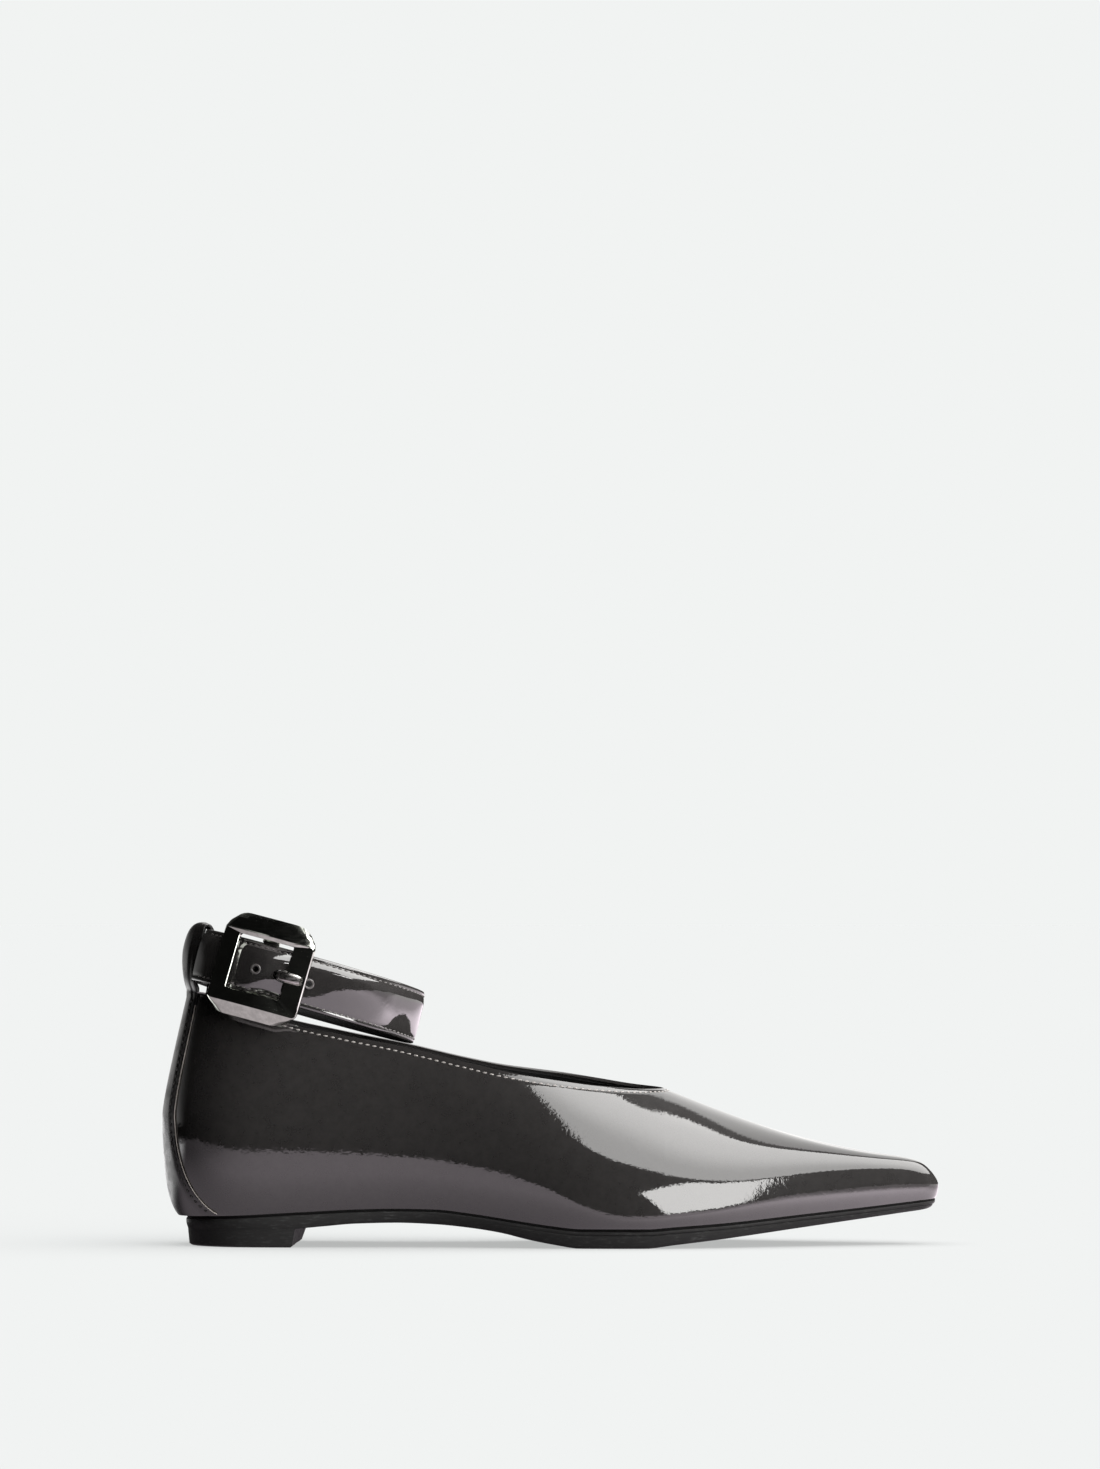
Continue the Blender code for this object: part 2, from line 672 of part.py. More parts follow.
def wrapped(obj, name, colour, metallic, roughness):
    """Flat shape laid on the strap ring as a finished piece."""
    mesh = obj.data
    points = [on_ring(*v.co) for v in mesh.vertices]
    faces = [tuple(p.vertices) for p in mesh.polygons]
    bpy.data.objects.remove(obj)
    return tidy(new_object(name, points, faces, colour, metallic, roughness), 0.000002)


def sliced(obj, places):
    """Extra edges across the shape, so that it can follow the ring."""
    work = bmesh.new()
    work.from_mesh(obj.data)
    for place in places:
        parts = list(work.verts) + list(work.edges) + list(work.faces)
        bmesh.ops.bisect_plane(work, geom=parts, plane_co=(place, 0, 0), plane_no=(1, 0, 0), dist=1e-5)
    work.to_mesh(obj.data)
    work.free()
    return obj


def tail_lift(place):
    """Height of the strap's middle layer; place counts down from the full ring to the tail."""
    if place > 0:
        share = (place - TAIL_RISE_END) / (TAIL_RISE_START - TAIL_RISE_END)
        return TAIL_LIFT * (1 - smooth_step(share))
    drop = smooth_step((-place - TAIL_RISE_END) / TAIL_RISE_END)
    return TAIL_LIFT + (TAIL_REST - TAIL_LIFT) * drop


def lying(outline, low, high):
    """Solid whose outline is seen along the strap's width."""
    n = len(outline)
    points = [(x, low, z) for x, z in outline] + [(x, high, z) for x, z in outline]
    faces = [tuple(range(n)), tuple(range(n, 2 * n))[::-1]]
    faces += [(i, (i + 1) % n, n + (i + 1) % n, n + i) for i in range(n)]
    return flat_mesh(points, faces)


def build_strap():
    """Band from the eye on the bar, back through the loop, round, and over itself."""
    eye_long = BAR_LONG + GAP + EYE_WALL
    eye_deep = BAR_DEEP + GAP + EYE_WALL
    start = EYE_WALL - eye_long
    length = RING_ROUND + start + BUCKLE_ARC - TAIL_END_ARC
    steps = int(round(length / STRAP_STEP))
    half_w, half_t = STRAP_WIDTH / 2, STRAP_THICK / 2
    top, under = [], []
    for k in range(steps + 1):
        along = start - length * k / steps
        lift = tail_lift(along + RING_ROUND)
        top.append((along, lift + half_t))
        under.append((along, lift - half_t))
    points = [(x, y, z) for x, z in top for y in (-half_w, half_w)]
    points += [(x, y, z) for x, z in under for y in (half_w, -half_w)]
    rows = 2 * (steps + 1)
    faces = [(0, 1, rows, rows + 1), (rows - 1, rows - 2, 2 * rows - 1, 2 * rows - 2)]
    for k in range(steps):
        a, c = 2 * k, rows + 2 * k
        faces += [(a, a + 2, a + 3, a + 1), (c, c + 2, c + 3, c + 1)]
        faces += [(a, c + 1, c + 3, a + 2), (a + 1, a + 3, c + 2, c)]
    strap = flat_mesh(points, faces)
    carved(strap, [lying(oval(0, 0, eye_long, eye_deep), -half_w, half_w)], "UNION")
    bore = oval(0, 0, BAR_LONG + GAP, BAR_DEEP + GAP)
    carved(strap, [lying(bore, -half_w - CUT_OVER, half_w + CUT_OVER)])
    slot = box_outline(-eye_long - GAP, eye_long + GAP, -eye_deep - GAP, eye_deep + GAP)
    carved(strap, [lying(slot, HOLE_ACROSS - EYE_SLOT, HOLE_ACROSS + EYE_SLOT)])
    tail = PRONG_HOLE_ARC - RING_ROUND
    holes = [prism(oval(tail, HOLE_ACROSS, PRONG_HOLE_LONG, PRONG_HOLE_WIDE), 0.0, CUT_FAR)]
    for place in (tail - HOLE_PITCH, tail + HOLE_PITCH):
        holes.append(prism(oval(place, HOLE_ACROSS, HOLE_RADIUS, HOLE_RADIUS), 0.0, CUT_FAR))
    carved(strap, holes)
    return wrapped(strap, "ankle_strap", (0.045, 0.042, 0.045), 0.6, 0.14)


def rounded_outline(half_x, half_y, corner):
    outline = []
    for quarter in range(4):
        sx = 1 if quarter in (0, 3) else -1
        sy = 1 if quarter < 2 else -1
        for k in range(CORNER_STEPS + 1):
            a = (quarter + k / CORNER_STEPS) * math.pi / 2
            x = sx * (half_x - corner) + corner * math.cos(a)
            outline.append((x, sy * (half_y - corner) + corner * math.sin(a)))
    return outline


def build_buckle_frame():
    """Bevelled frame with a window, a way for the strap under its bars, and the centre bar."""
    points, faces = [], []
    for out, half_along, half_across, corner, centre_across in FRAME_RINGS:
        ring = rounded_outline(half_along, half_across, corner)
        points += [(x + FRAME_CENTRE_ALONG, y + centre_across, out) for x, y in ring]
    n = len(ring)
    for level in range(len(FRAME_RINGS) - 1):
        low, high = level * n, (level + 1) * n
        for i in range(n):
            j = (i + 1) % n
            faces.append((low + i, low + j, high + j, high + i))
    top = (len(FRAME_RINGS) - 1) * n
    faces += [tuple(range(n))[::-1], tuple(range(top, top + n))]
    frame = flat_mesh(points, faces)
    opening = box_outline(WINDOW_BACK, WINDOW_FRONT, WINDOW_LOW, WINDOW_HIGH)
    passage = box_outline(-CUT_FAR, CUT_FAR, PASSAGE_LOW, PASSAGE_HIGH)
    cutters = [prism(opening, -CUT_FAR, CUT_FAR), prism(passage, -CUT_FAR, FRAME_UNDER_BARS)]
    carved(frame, cutters)
    bar = lying(oval(0, 0, BAR_LONG, BAR_DEEP), PASSAGE_LOW - CUT_OVER, PASSAGE_HIGH + CUT_OVER)
    carved(frame, [bar], "UNION")
    sliced(frame, np.arange(-4, 5) * FRAME_SLICE)
    return wrapped(frame, "buckle_frame", (0.11, 0.10, 0.105), 1.0, 0.12)


def build_prong():
    """Ring round the bar and a tongue that rises through the hole on to the front bar."""
    inner_long, inner_deep = BAR_LONG + GAP, BAR_DEEP + GAP
    outer = oval(0, 0, inner_long + EYE_WALL, inner_deep + EYE_WALL)
    bore = oval(0, 0, inner_long, inner_deep)
    low, high = HOLE_ACROSS - PRONG_HALF_WIDTH, HOLE_ACROSS + PRONG_HALF_WIDTH
    body = lying(outer, low, high)
    along = column(PRONG_PATH, PRONG_COLUMNS, "along")
    out = column(PRONG_PATH, PRONG_COLUMNS, "out")
    curve = natural_curve(np.arange(len(along), dtype=float), along)
    rise = natural_curve(np.arange(len(along), dtype=float), out)
    upper_edge, lower_edge = [], []
    for t in np.linspace(0.0, len(along) - 1.0, 2 * len(along) - 1):
        step = 1e-3
        run = np.array((curve(t + step) - curve(t - step), rise(t + step) - rise(t - step)))
        side = np.array((-run[1], run[0])) / np.linalg.norm(run) * PRONG_THICK / 2
        centre = np.array((curve(t), rise(t)))
        upper_edge.append(tuple(centre + side))
        lower_edge.append(tuple(centre - side))
    tongue = lying(lower_edge + upper_edge[::-1], low, high)
    carved(body, [tongue], "UNION")
    carved(body, [lying(bore, low - CUT_OVER, high + CUT_OVER)])
    return wrapped(body, "buckle_prong", (0.30, 0.29, 0.30), 1.0, 0.15)


build_outsole()
build_heel_block()
build_insole()
build_upper()
build_heel_strip()
build_strap()
build_buckle_frame()
build_prong()
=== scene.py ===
import math

import bmesh
import bpy
import numpy as np
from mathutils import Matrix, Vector
from mathutils.bvhtree import BVHTree
from mathutils.kdtree import KDTree


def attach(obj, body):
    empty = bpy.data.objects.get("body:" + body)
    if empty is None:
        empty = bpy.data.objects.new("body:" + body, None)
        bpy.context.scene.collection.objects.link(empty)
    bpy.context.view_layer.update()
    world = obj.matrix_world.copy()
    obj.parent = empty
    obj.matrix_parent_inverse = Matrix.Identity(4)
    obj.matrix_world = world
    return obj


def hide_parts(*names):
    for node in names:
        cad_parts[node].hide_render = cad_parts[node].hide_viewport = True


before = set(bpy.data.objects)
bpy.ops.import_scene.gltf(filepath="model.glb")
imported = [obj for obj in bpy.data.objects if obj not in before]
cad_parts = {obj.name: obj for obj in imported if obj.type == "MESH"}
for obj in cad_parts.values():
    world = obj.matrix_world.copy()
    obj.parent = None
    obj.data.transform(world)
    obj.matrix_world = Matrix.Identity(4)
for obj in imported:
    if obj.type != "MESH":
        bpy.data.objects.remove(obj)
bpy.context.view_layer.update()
bpy.ops.object.select_all(action="DESELECT")

# lengths below are millimetres from the back of the heel, the middle line and the ground
mm = 0.001
shoeOrigin = np.array((135.0, 0.2, 0.0))


def toWorld(points):
    return (np.asarray(points, float) - shoeOrigin) * mm


def unit(vectors):
    return vectors / np.linalg.norm(vectors, axis=-1)[..., None]


def withHeight(flat, z):
    return np.concatenate((flat, z[..., None]), -1)


class Value:
    def __init__(self, look, socket):
        self.look = look
        self.socket = socket

    def maths(self, operation, first, second):
        return self.look.node("Math", {"operation": operation}, {0: first, 1: second})

    def __add__(self, other):
        return self.maths("ADD", self, other)

    def __radd__(self, other):
        return self.maths("ADD", other, self)

    def __sub__(self, other):
        return self.maths("SUBTRACT", self, other)

    def __rsub__(self, other):
        return self.maths("SUBTRACT", other, self)

    def __mul__(self, other):
        return self.maths("MULTIPLY", self, other)

    def __rmul__(self, other):
        return self.maths("MULTIPLY", other, self)

    def __truediv__(self, other):
        return self.maths("DIVIDE", self, other)

    def __pow__(self, other):
        return self.maths("POWER", self, other)


class Look:
    def __init__(self, tree):
        self.tree = tree

    def node(self, kind, settings, links, output=0):
        made = self.tree.nodes.new("ShaderNode" + kind)
        for name, setting in settings.items():
            setattr(made, name, setting)
        for name, link in links.items():
            if isinstance(link, Value):
                self.tree.links.new(link.socket, made.inputs[name])
            else:
                made.inputs[name].default_value = link
        if made.outputs:
            return Value(self, made.outputs[output])

    def place(self):
        return self.node("TexCoord", {}, {}, "Object")

    def parts(self, vector):
        first = self.node("SeparateXYZ", {}, {0: vector})
        return [Value(self, output) for output in first.socket.node.outputs]

    def noise(self, size, detail, roughness, vector, distortion=0.0):
        links = {"Vector": vector, "Scale": 1.0 / size, "Detail": detail,
                 "Roughness": roughness, "Distortion": distortion}
        return self.node("TexNoise", {}, links)

    def step(self, value, low, high, toLow=0.0, toHigh=1.0):
        links = {0: value, 1: low, 2: high, 3: toLow, 4: toHigh}
        return self.node("MapRange", {"interpolation_type": "SMOOTHSTEP"}, links)

    def bump(self, height, depth, normal=None):
        links = {"Height": height, "Distance": depth, "Strength": 1.0}
        if normal:
            links["Normal"] = normal
        return self.node("Bump", {}, links)

    def blend(self, share, first, second):
        return self.node("Mix", {"data_type": "RGBA"}, {0: share, 6: first, 7: second}, 2)


class Finish(Look):
    def __init__(self, name, constants):
        self.material = bpy.data.materials.new(name)
        self.material.use_nodes = True
        super().__init__(self.material.node_tree)
        self.shader = self.tree.nodes["Principled BSDF"]
        for socket, constant in constants.items():
            self.shader.inputs[socket].default_value = constant

    def feed(self, socket, value):
        self.tree.links.new(value.socket, self.shader.inputs[socket])

    def shades(self, share, colour, darker, lighter):
        dark, light = ((*(c * k for c in colour), 1.0) for k in (darker, lighter))
        self.feed("Base Color", self.blend(share, dark, light))

    def gloss(self, share, low, high, roughness, spread):
        self.feed("Roughness", self.step(share, low, high, *(roughness * k for k in spread)))


def pick(obj):
    bpy.ops.object.select_all(action="DESELECT")
    obj.select_set(True)
    bpy.context.view_layer.objects.active = obj
    return obj


def named(name):
    obj = bpy.context.object
    obj.name = name
    obj.data.name = name
    return obj


def started(name, primitive, **settings):
    # a new primitive, alone in the selection
    bpy.ops.object.select_all(action="DESELECT")
    primitive(**settings)
    return named(name)


def corners(obj):
    return np.array([v.co for v in obj.data.vertices])


def facesOf(obj):
    return [tuple(polygon.vertices) for polygon in obj.data.polygons]


def moved(obj, points):
    obj.data.vertices.foreach_set("co", np.asarray(points, float).ravel())
    obj.data.update()
    return obj


def layGrid(name, points):
    # a flat grid, laid over the rows and columns of points
    rows, cols = points.shape[0] - 1, points.shape[1] - 1
    obj = started(name, bpy.ops.mesh.primitive_grid_add, x_subdivisions=cols, y_subdivisions=rows, size=2)
    flat = corners(obj)
    col = np.rint((flat[:, 0] + 1) / 2 * cols).astype(int)
    row = np.rint((flat[:, 1] + 1) / 2 * rows).astype(int)
    return moved(obj, toWorld(points[row, col]))


def extrudeRings(name, rings, closeEnds=True):
    # a circle shaped to the first ring, extruded ring by ring
    obj = started(name, bpy.ops.mesh.primitive_circle_add, vertices=len(rings[0]), radius=1.0)
    moved(obj, rings[0])
    bpy.ops.object.mode_set(mode="EDIT")
    bpy.ops.mesh.select_all(action="SELECT")
    if closeEnds:
        bpy.ops.mesh.edge_face_add()
    extrude = bpy.ops.mesh.extrude_region if closeEnds else bpy.ops.mesh.extrude_edges_indiv
    before = np.asarray(rings[0], float)
    for ring in rings[1:]:
        extrude()
        work = bmesh.from_edit_mesh(obj.data)
        for vertex in work.verts:
            if vertex.select:
                gap = np.linalg.norm(before - np.array(vertex.co), axis=1)
                vertex.co = Vector(ring[int(np.argmin(gap))])
        bmesh.update_edit_mesh(obj.data)
        before = np.asarray(ring, float)
    bpy.ops.mesh.select_all(action="SELECT")
    bpy.ops.mesh.remove_doubles(threshold=1e-4)
    bpy.ops.mesh.normals_make_consistent(inside=False)
    bpy.ops.object.mode_set(mode="OBJECT")
    return obj


def weld(obj, reach=2e-6, recalculate=False):
    pick(obj)
    bpy.ops.object.mode_set(mode="EDIT")
    bpy.ops.mesh.select_all(action="SELECT")
    bpy.ops.mesh.remove_doubles(threshold=reach)
    if recalculate:
        bpy.ops.mesh.normals_make_consistent(inside=False)
    bpy.ops.object.mode_set(mode="OBJECT")
    return obj


def applied(obj, kind, **settings):
    pick(obj)
    modifier = obj.modifiers.new(kind.title(), kind)
    for name, setting in settings.items():
        setattr(modifier, name, setting)
    bpy.ops.object.modifier_apply(modifier=modifier.name)
    return obj


def rounded(obj, width, segments, angle):
    return applied(obj, "BEVEL", width=width, segments=segments, limit_method="ANGLE",
                   angle_limit=math.radians(angle))


def cutAway(obj, cutter):
    applied(obj, "BOOLEAN", operation="DIFFERENCE", solver="EXACT", object=cutter)
    bpy.data.objects.remove(cutter)


def copied(obj, name):
    pick(obj)
    bpy.ops.object.duplicate()
    return named(name)


def joined(first, *others):
    pick(first)
    for obj in others:
        obj.select_set(True)
    bpy.ops.object.join()
    return first


def smoothed(obj, angle=None):
    pick(obj)
    if angle is None:
        bpy.ops.object.shade_smooth()
    else:
        bpy.ops.object.shade_smooth_by_angle(angle=math.radians(angle))
    return obj


def dressed(obj, *finishes):
    obj.data.materials.clear()
    for finish in finishes:
        obj.data.materials.append(finish.material)
    return obj


def placed(obj, slot, *nodes):
    if nodes:
        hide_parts(*nodes)
    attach(obj, "root")
    return obj


def evenCurve(xs, ys):
    # through the points without swinging past them
    xs, ys = np.asarray(xs, float), np.asarray(ys, float)
    gap = np.diff(xs)
    slope = np.diff(ys) / gap
    tangent = np.zeros(len(xs))
    for i in range(1, len(xs) - 1):
        if slope[i - 1] * slope[i] > 0:
            a, b = 2 * gap[i] + gap[i - 1], gap[i] + 2 * gap[i - 1]
            tangent[i] = (a + b) / (a / slope[i - 1] + b / slope[i])
    tangent[0], tangent[-1] = slope[0], slope[-1]

    def curve(x):
        x = np.clip(x, xs[0], xs[-1])
        i = np.minimum(np.searchsorted(xs, x, side="right") - 1, len(xs) - 2)
        t = (x - xs[i]) / gap[i]
        level = ys[i] * (1 + 2 * t) * (1 - t) ** 2 + ys[i + 1] * t * t * (3 - 2 * t)
        return level + gap[i] * t * (1 - t) * (tangent[i] * (1 - t) - tangent[i + 1] * t)

    return curve


def cubic(first, second, bendFirst, bendSecond, gap, b):
    # one span between two points, b along it
    a = gap - b
    level = (first / gap - bendFirst * gap / 6) * a + (second / gap - bendSecond * gap / 6) * b
    return level + (bendFirst * a ** 3 + bendSecond * b ** 3) / (6 * gap)


def closedCurve(knots, values, period):
    # smooth through points round a closed loop
    n = len(knots)
    gap = np.append(np.diff(knots), knots[0] + period - knots[-1])
    slope = (np.roll(values, -1) - values) / gap
    matrix = np.zeros((n, n))
    for i in range(n):
        matrix[i, i - 1] += gap[i - 1]
        matrix[i, i] += 2 * (gap[i - 1] + gap[i])
        matrix[i, (i + 1) % n] += gap[i]
    bend = np.linalg.solve(matrix, 6 * (slope - np.roll(slope, 1)))

    def curve(q):
        q = (np.asarray(q, float) - knots[0]) % period + knots[0]
        i = np.searchsorted(knots, q, side="right") - 1
        j = (i + 1) % n
        return cubic(values[i], values[j], bend[i], bend[j], gap[i], q - knots[i])

    return curve


def naturalCurve(ys):
    # smooth through points numbered from 0, straight at both ends
    ys = np.asarray(ys, float)
    n = len(ys)
    matrix = np.eye(n)
    right = np.zeros(n)
    for i in range(1, n - 1):
        matrix[i, i - 1 : i + 2] = 1.0, 4.0, 1.0
        right[i] = 6 * (ys[i + 1] - 2 * ys[i] + ys[i - 1])
    bend = np.linalg.solve(matrix, right)

    def curve(t):
        t = np.asarray(t, float)
        i = np.clip(t.astype(int), 0, n - 2)
        return cubic(ys[i], ys[i + 1], bend[i], bend[i + 1], 1.0, t - i)

    return curve


def easeStep(t):
    t = np.clip(t, 0.0, 1.0)
    return t * t * (3 - 2 * t)


def evenWalk(path, pitch):
    # places at an even pitch along a line of points
    run = np.append(0.0, np.cumsum(np.linalg.norm(np.diff(path, axis=0), axis=1)))
    count = max(int(run[-1] / pitch), 1)
    stops = (np.arange(count) + 0.5) * run[-1] / count
    return np.column_stack([np.interp(stops, run, path[:, k]) for k in range(3)])


last = {
    # one row per section, from the back of the heel to the toe tip
    "columns": ("footX", "outerY", "innerY", "bulge", "tuck", "widestZ",
                "ridgeX", "ridgeY", "ridgeZ", "pull", "crown"),
    "rows": (
        (9.5, 0.0, 0.0, 7.9, 0.5, 45.0, 23.2, 0.0, 140.0, 0.09, 1.00),
        (11.0, 8.2, 8.2, 7.8, 0.6, 44.8, 24.0, 0.0, 140.0, 0.10, 1.00),
        (15.5, 15.4, 15.4, 7.2, 1.0, 44.2, 26.2, 0.0, 140.0, 0.15, 1.00),
        (22.3, 20.8, 20.8, 6.3, 1.8, 43.4, 30.2, 0.0, 139.6, 0.25, 1.00),
        (31.0, 23.6, 23.4, 5.5, 2.6, 42.6, 36.8, 0.0, 138.4, 0.37, 1.00),
        (45.0, 24.8, 24.2, 4.9, 3.4, 41.4, 48.0, 0.0, 134.0, 0.50, 1.00),
        (65.0, 25.2, 22.9, 4.6, 3.8, 39.0, 66.0, 0.0, 123.0, 0.60, 1.00),
        (88.0, 25.9, 20.9, 4.4, 3.8, 35.4, 88.0, 0.0, 107.0, 0.70, 1.00),
        (112.0, 28.6, 21.6, 4.0, 3.2, 30.4, 112.0, 0.2, 89.0, 0.82, 0.97),
        (135.0, 32.2, 26.4, 3.5, 2.4, 21.0, 135.0, 0.5, 74.0, 0.92, 0.93),
        (155.0, 34.6, 32.0, 3.1, 1.8, 11.4, 155.0, 0.8, 62.6, 0.98, 0.90),
        (173.0, 33.8, 35.2, 2.8, 1.6, 10.8, 173.0, 1.1, 54.8, 0.96, 0.95),
        (193.0, 29.0, 33.8, 2.6, 1.6, 13.2, 192.0, 1.6, 47.2, 0.93, 1.02),
        (214.0, 21.7, 27.6, 2.4, 1.6, 17.4, 211.0, 2.0, 40.5, 0.95, 1.18),
        (235.0, 13.9, 20.0, 2.2, 1.6, 19.6, 230.0, 2.5, 34.9, 1.00, 1.70),
        (252.0, 7.4, 13.4, 2.0, 1.5, 20.8, 245.6, 2.7, 31.7, 1.00, 2.00),
        (262.0, 3.5, 9.6, 1.8, 1.3, 21.0, 255.0, 2.8, 30.3, 1.00, 1.40),
        (266.8, 1.0, 6.5, 1.7, 1.2, 20.8, 260.0, 2.8, 29.4, 1.00, 0.70),
        (268.3, -2.8, 2.8, 1.7, 1.2, 20.6, 261.4, 2.8, 29.1, 1.00, 0.35),
    ),
    "tuckWeight": 1.0, "innerRise": 1.7, "innerRiseMiddle": 140.0, "innerRiseSpread": 25.0,
    "throatBetween": (0.3, 0.95), "halvings": 60,
    "collarX": (4, 16, 44, 64, 85, 105, 121, 137, 152, 166, 174.5),
    "collarZ": (88.9, 87.0, 77.7, 73.4, 69.3, 64.4, 60.6, 57.8, 55.8, 54.5, 54.2),
    "soleX": (0, 20, 45, 56, 68, 82, 95, 108, 118, 127, 137, 145, 168, 178, 195, 222, 250, 271),
    "soleTopZ": (9.7, 10, 11.4, 12, 12.6, 12.9, 12.7, 11.3, 9.8, 8.4, 7, 6.2, 6.1, 6.8, 8, 10.7,
                 13.5, 15.8),
    "soleUnderZ": (6, 6, 6.4, 7.3, 8.3, 8.6, 8.1, 6.8, 5.2, 3, 1.1, 0, 0, 1.1, 3, 6.5, 10.1, 12.8),
}

collarHeight = evenCurve(last["collarX"], last["collarZ"])
soleTop = evenCurve(last["soleX"], last["soleTopZ"])
soleUnder = evenCurve(last["soleX"], last["soleUnderZ"])
throatX = last["collarX"][-1]


def lastCurves():
    table = np.array(last["rows"], float)
    column = dict(zip(last["columns"], table.T))
    middle = (column["outerY"] + column["innerY"]) / 2
    steps = np.hypot(np.diff(column["footX"]), np.diff(middle))
    share = np.append(0.0, np.cumsum(steps))
    share /= share[-1]
    knots = np.concatenate((share, 2.0 - share[-2:0:-1]))
    curves = {}
    for name, values in column.items():
        curves[name] = closedCurve(knots, np.concatenate((values, values[-2:0:-1])), 2.0)
    around = np.concatenate((column["innerY"], -column["outerY"][-2:0:-1]))
    curves["footY"] = closedCurve(knots, around, 2.0)
    return curves


lastCurve = lastCurves()


def conic(a, b, c, weight, t):
    t = np.clip(t, 0.0, 1.0)[..., None]
    u, v, w = (1 - t) ** 2, 2 * weight * t * (1 - t), t * t
    return (a * u + b * v + c * w) / (u + v + w)


def guides(q):
    # the five guiding points of each section and its crown weight
    at = {name: curve(q) for name, curve in lastCurve.items()}
    foot = np.stack((at["footX"], at["footY"], soleTop(at["footX"])), -1)
    ridge = np.stack((at["ridgeX"], at["ridgeY"], at["ridgeZ"]), -1)
    outward = unit(foot[..., :2] - ridge[..., :2])
    side = foot[..., :2] + outward * at["bulge"][..., None]
    lift = at["widestZ"] + at["pull"] * (at["ridgeZ"] - at["widestZ"])
    tuck, wide, shoulder = (withHeight(side, z) for z in (foot[..., 2] + at["tuck"], at["widestZ"], lift))
    return foot, tuck, wide, shoulder, ridge, at["crown"][..., None]


def skin(q, height):
    # height 0 to 1 reaches the widest line, 1 to 2 goes on to the ridge
    q, height = np.broadcast_arrays(np.asarray(q, float), np.asarray(height, float))
    foot, tuck, wide, shoulder, ridge, crown = guides(q)
    low = conic(foot, tuck, wide, last["tuckWeight"], height)
    high = conic(wide, shoulder, ridge, crown, height - 1)
    return np.where(height[..., None] <= 1, low, high)


def collarAt(x, q):
    spread = (x - last["innerRiseMiddle"]) / last["innerRiseSpread"]
    rise = np.where((q > 0) & (q < 1), last["innerRise"] * np.exp(-spread ** 2), 0.0)
    return collarHeight(x) + rise


def collarShare(q):
    # how far up each section the collar cuts it; 1 where the vamp is closed
    q = np.asarray(q, float)
    low, high = np.zeros_like(q), np.ones_like(q)
    for _ in range(46):
        middle = (low + high) / 2
        point = skin(q, 1 + middle)
        under = point[..., 2] < collarAt(point[..., 0], q)
        low = np.where(under, middle, low)
        high = np.where(under, high, middle)
    closed = lastCurve["ridgeX"](q) >= throatX - 1e-6
    return np.where(closed, 1.0, (low + high) / 2)


def throatShare():
    low, high = last["throatBetween"]
    for _ in range(last["halvings"]):
        middle = (low + high) / 2
        if lastCurve["ridgeX"](middle) < throatX:
            low = middle
        else:
            high = middle
    return high


throat = throatShare()


def edgePoint(q, grow):
    # the sole edge in plan, moved out by grow
    step = 1e-4
    here = np.stack((lastCurve["footX"](q), lastCurve["footY"](q)), -1)
    ahead = np.stack((lastCurve["footX"](q + step), lastCurve["footY"](q + step)), -1)
    run = ahead - here
    out = unit(np.stack((-run[..., 1], run[..., 0]), -1))
    return here + out * np.asarray(grow)[..., None]


print("last ready, throat at", round(float(throat), 4))


patentLook = {
    "base": (0.042, 0.0395, 0.039), "shades": (0.9, 1.12), "ior": 1.93, "roughness": 0.035,
    "spread": (0.7, 1.7), "cloudSize": 0.004, "smearSize": 0.009,
    "peelSize": 0.0013, "peelDepth": 0.000015, "waveSize": 0.0065, "waveDepth": 0.000022,
}


def patent(name, baseScale=1.0, roughness=patentLook["roughness"], wave=1.0, ior=patentLook["ior"]):
    # lacquered leather: faint clouding, orange peel over slow waves
    finish = Finish(name, {"IOR": ior})
    place = finish.place()
    cloud = finish.step(finish.noise(patentLook["cloudSize"], 5.0, 0.7, place), 0.3, 0.7)
    base = tuple(c * baseScale for c in patentLook["base"])
    finish.shades(cloud, base, *patentLook["shades"])
    smear = finish.noise(patentLook["smearSize"], 4.0, 0.65, place)
    finish.gloss(smear, 0.35, 0.8, roughness, patentLook["spread"])
    swell = finish.bump(finish.noise(patentLook["waveSize"], 2.0, 0.5, place),
                        patentLook["waveDepth"] * wave)
    peel = finish.noise(patentLook["peelSize"], 2.0, 0.55, place, 0.3)
    finish.feed("Normal", finish.bump(peel, patentLook["peelDepth"], swell))
    return finish


calfLook = {"ior": 1.45, "shades": (0.7, 1.35), "cloudSize": 0.014, "poreWide": 0.35, "poreRough": 0.12}


def calf(name, colour, roughness, grain=0.0007, depth=0.00006):
    # matt lining leather: pores and faint clouding
    finish = Finish(name, {"IOR": calfLook["ior"]})
    place = finish.place()
    cloud = finish.step(finish.noise(calfLook["cloudSize"], 4.0, 0.6, place), 0.3, 0.75)
    finish.shades(cloud, colour, *calfLook["shades"])
    cells = finish.node("TexVoronoi", {"feature": "DISTANCE_TO_EDGE"},
                        {"Vector": place, "Scale": 1.0 / grain}, "Distance")
    pores = finish.step(cells, 0.0, calfLook["poreWide"])
    finish.feed("Roughness", roughness + calfLook["poreRough"] * (1 - pores))
    finish.feed("Normal", finish.bump(pores, depth))
    return finish


rubberLook = {
    "ior": 1.5, "specular": 0.1, "stretch": (0.12, 0.3, 1.0), "scuffSize": 0.0005, "mottleSize": 0.004,
    "grainSize": 0.0006, "grainDepth": 0.00005, "shades": (1.0, 3.4), "spread": (0.8, 1.25),
}


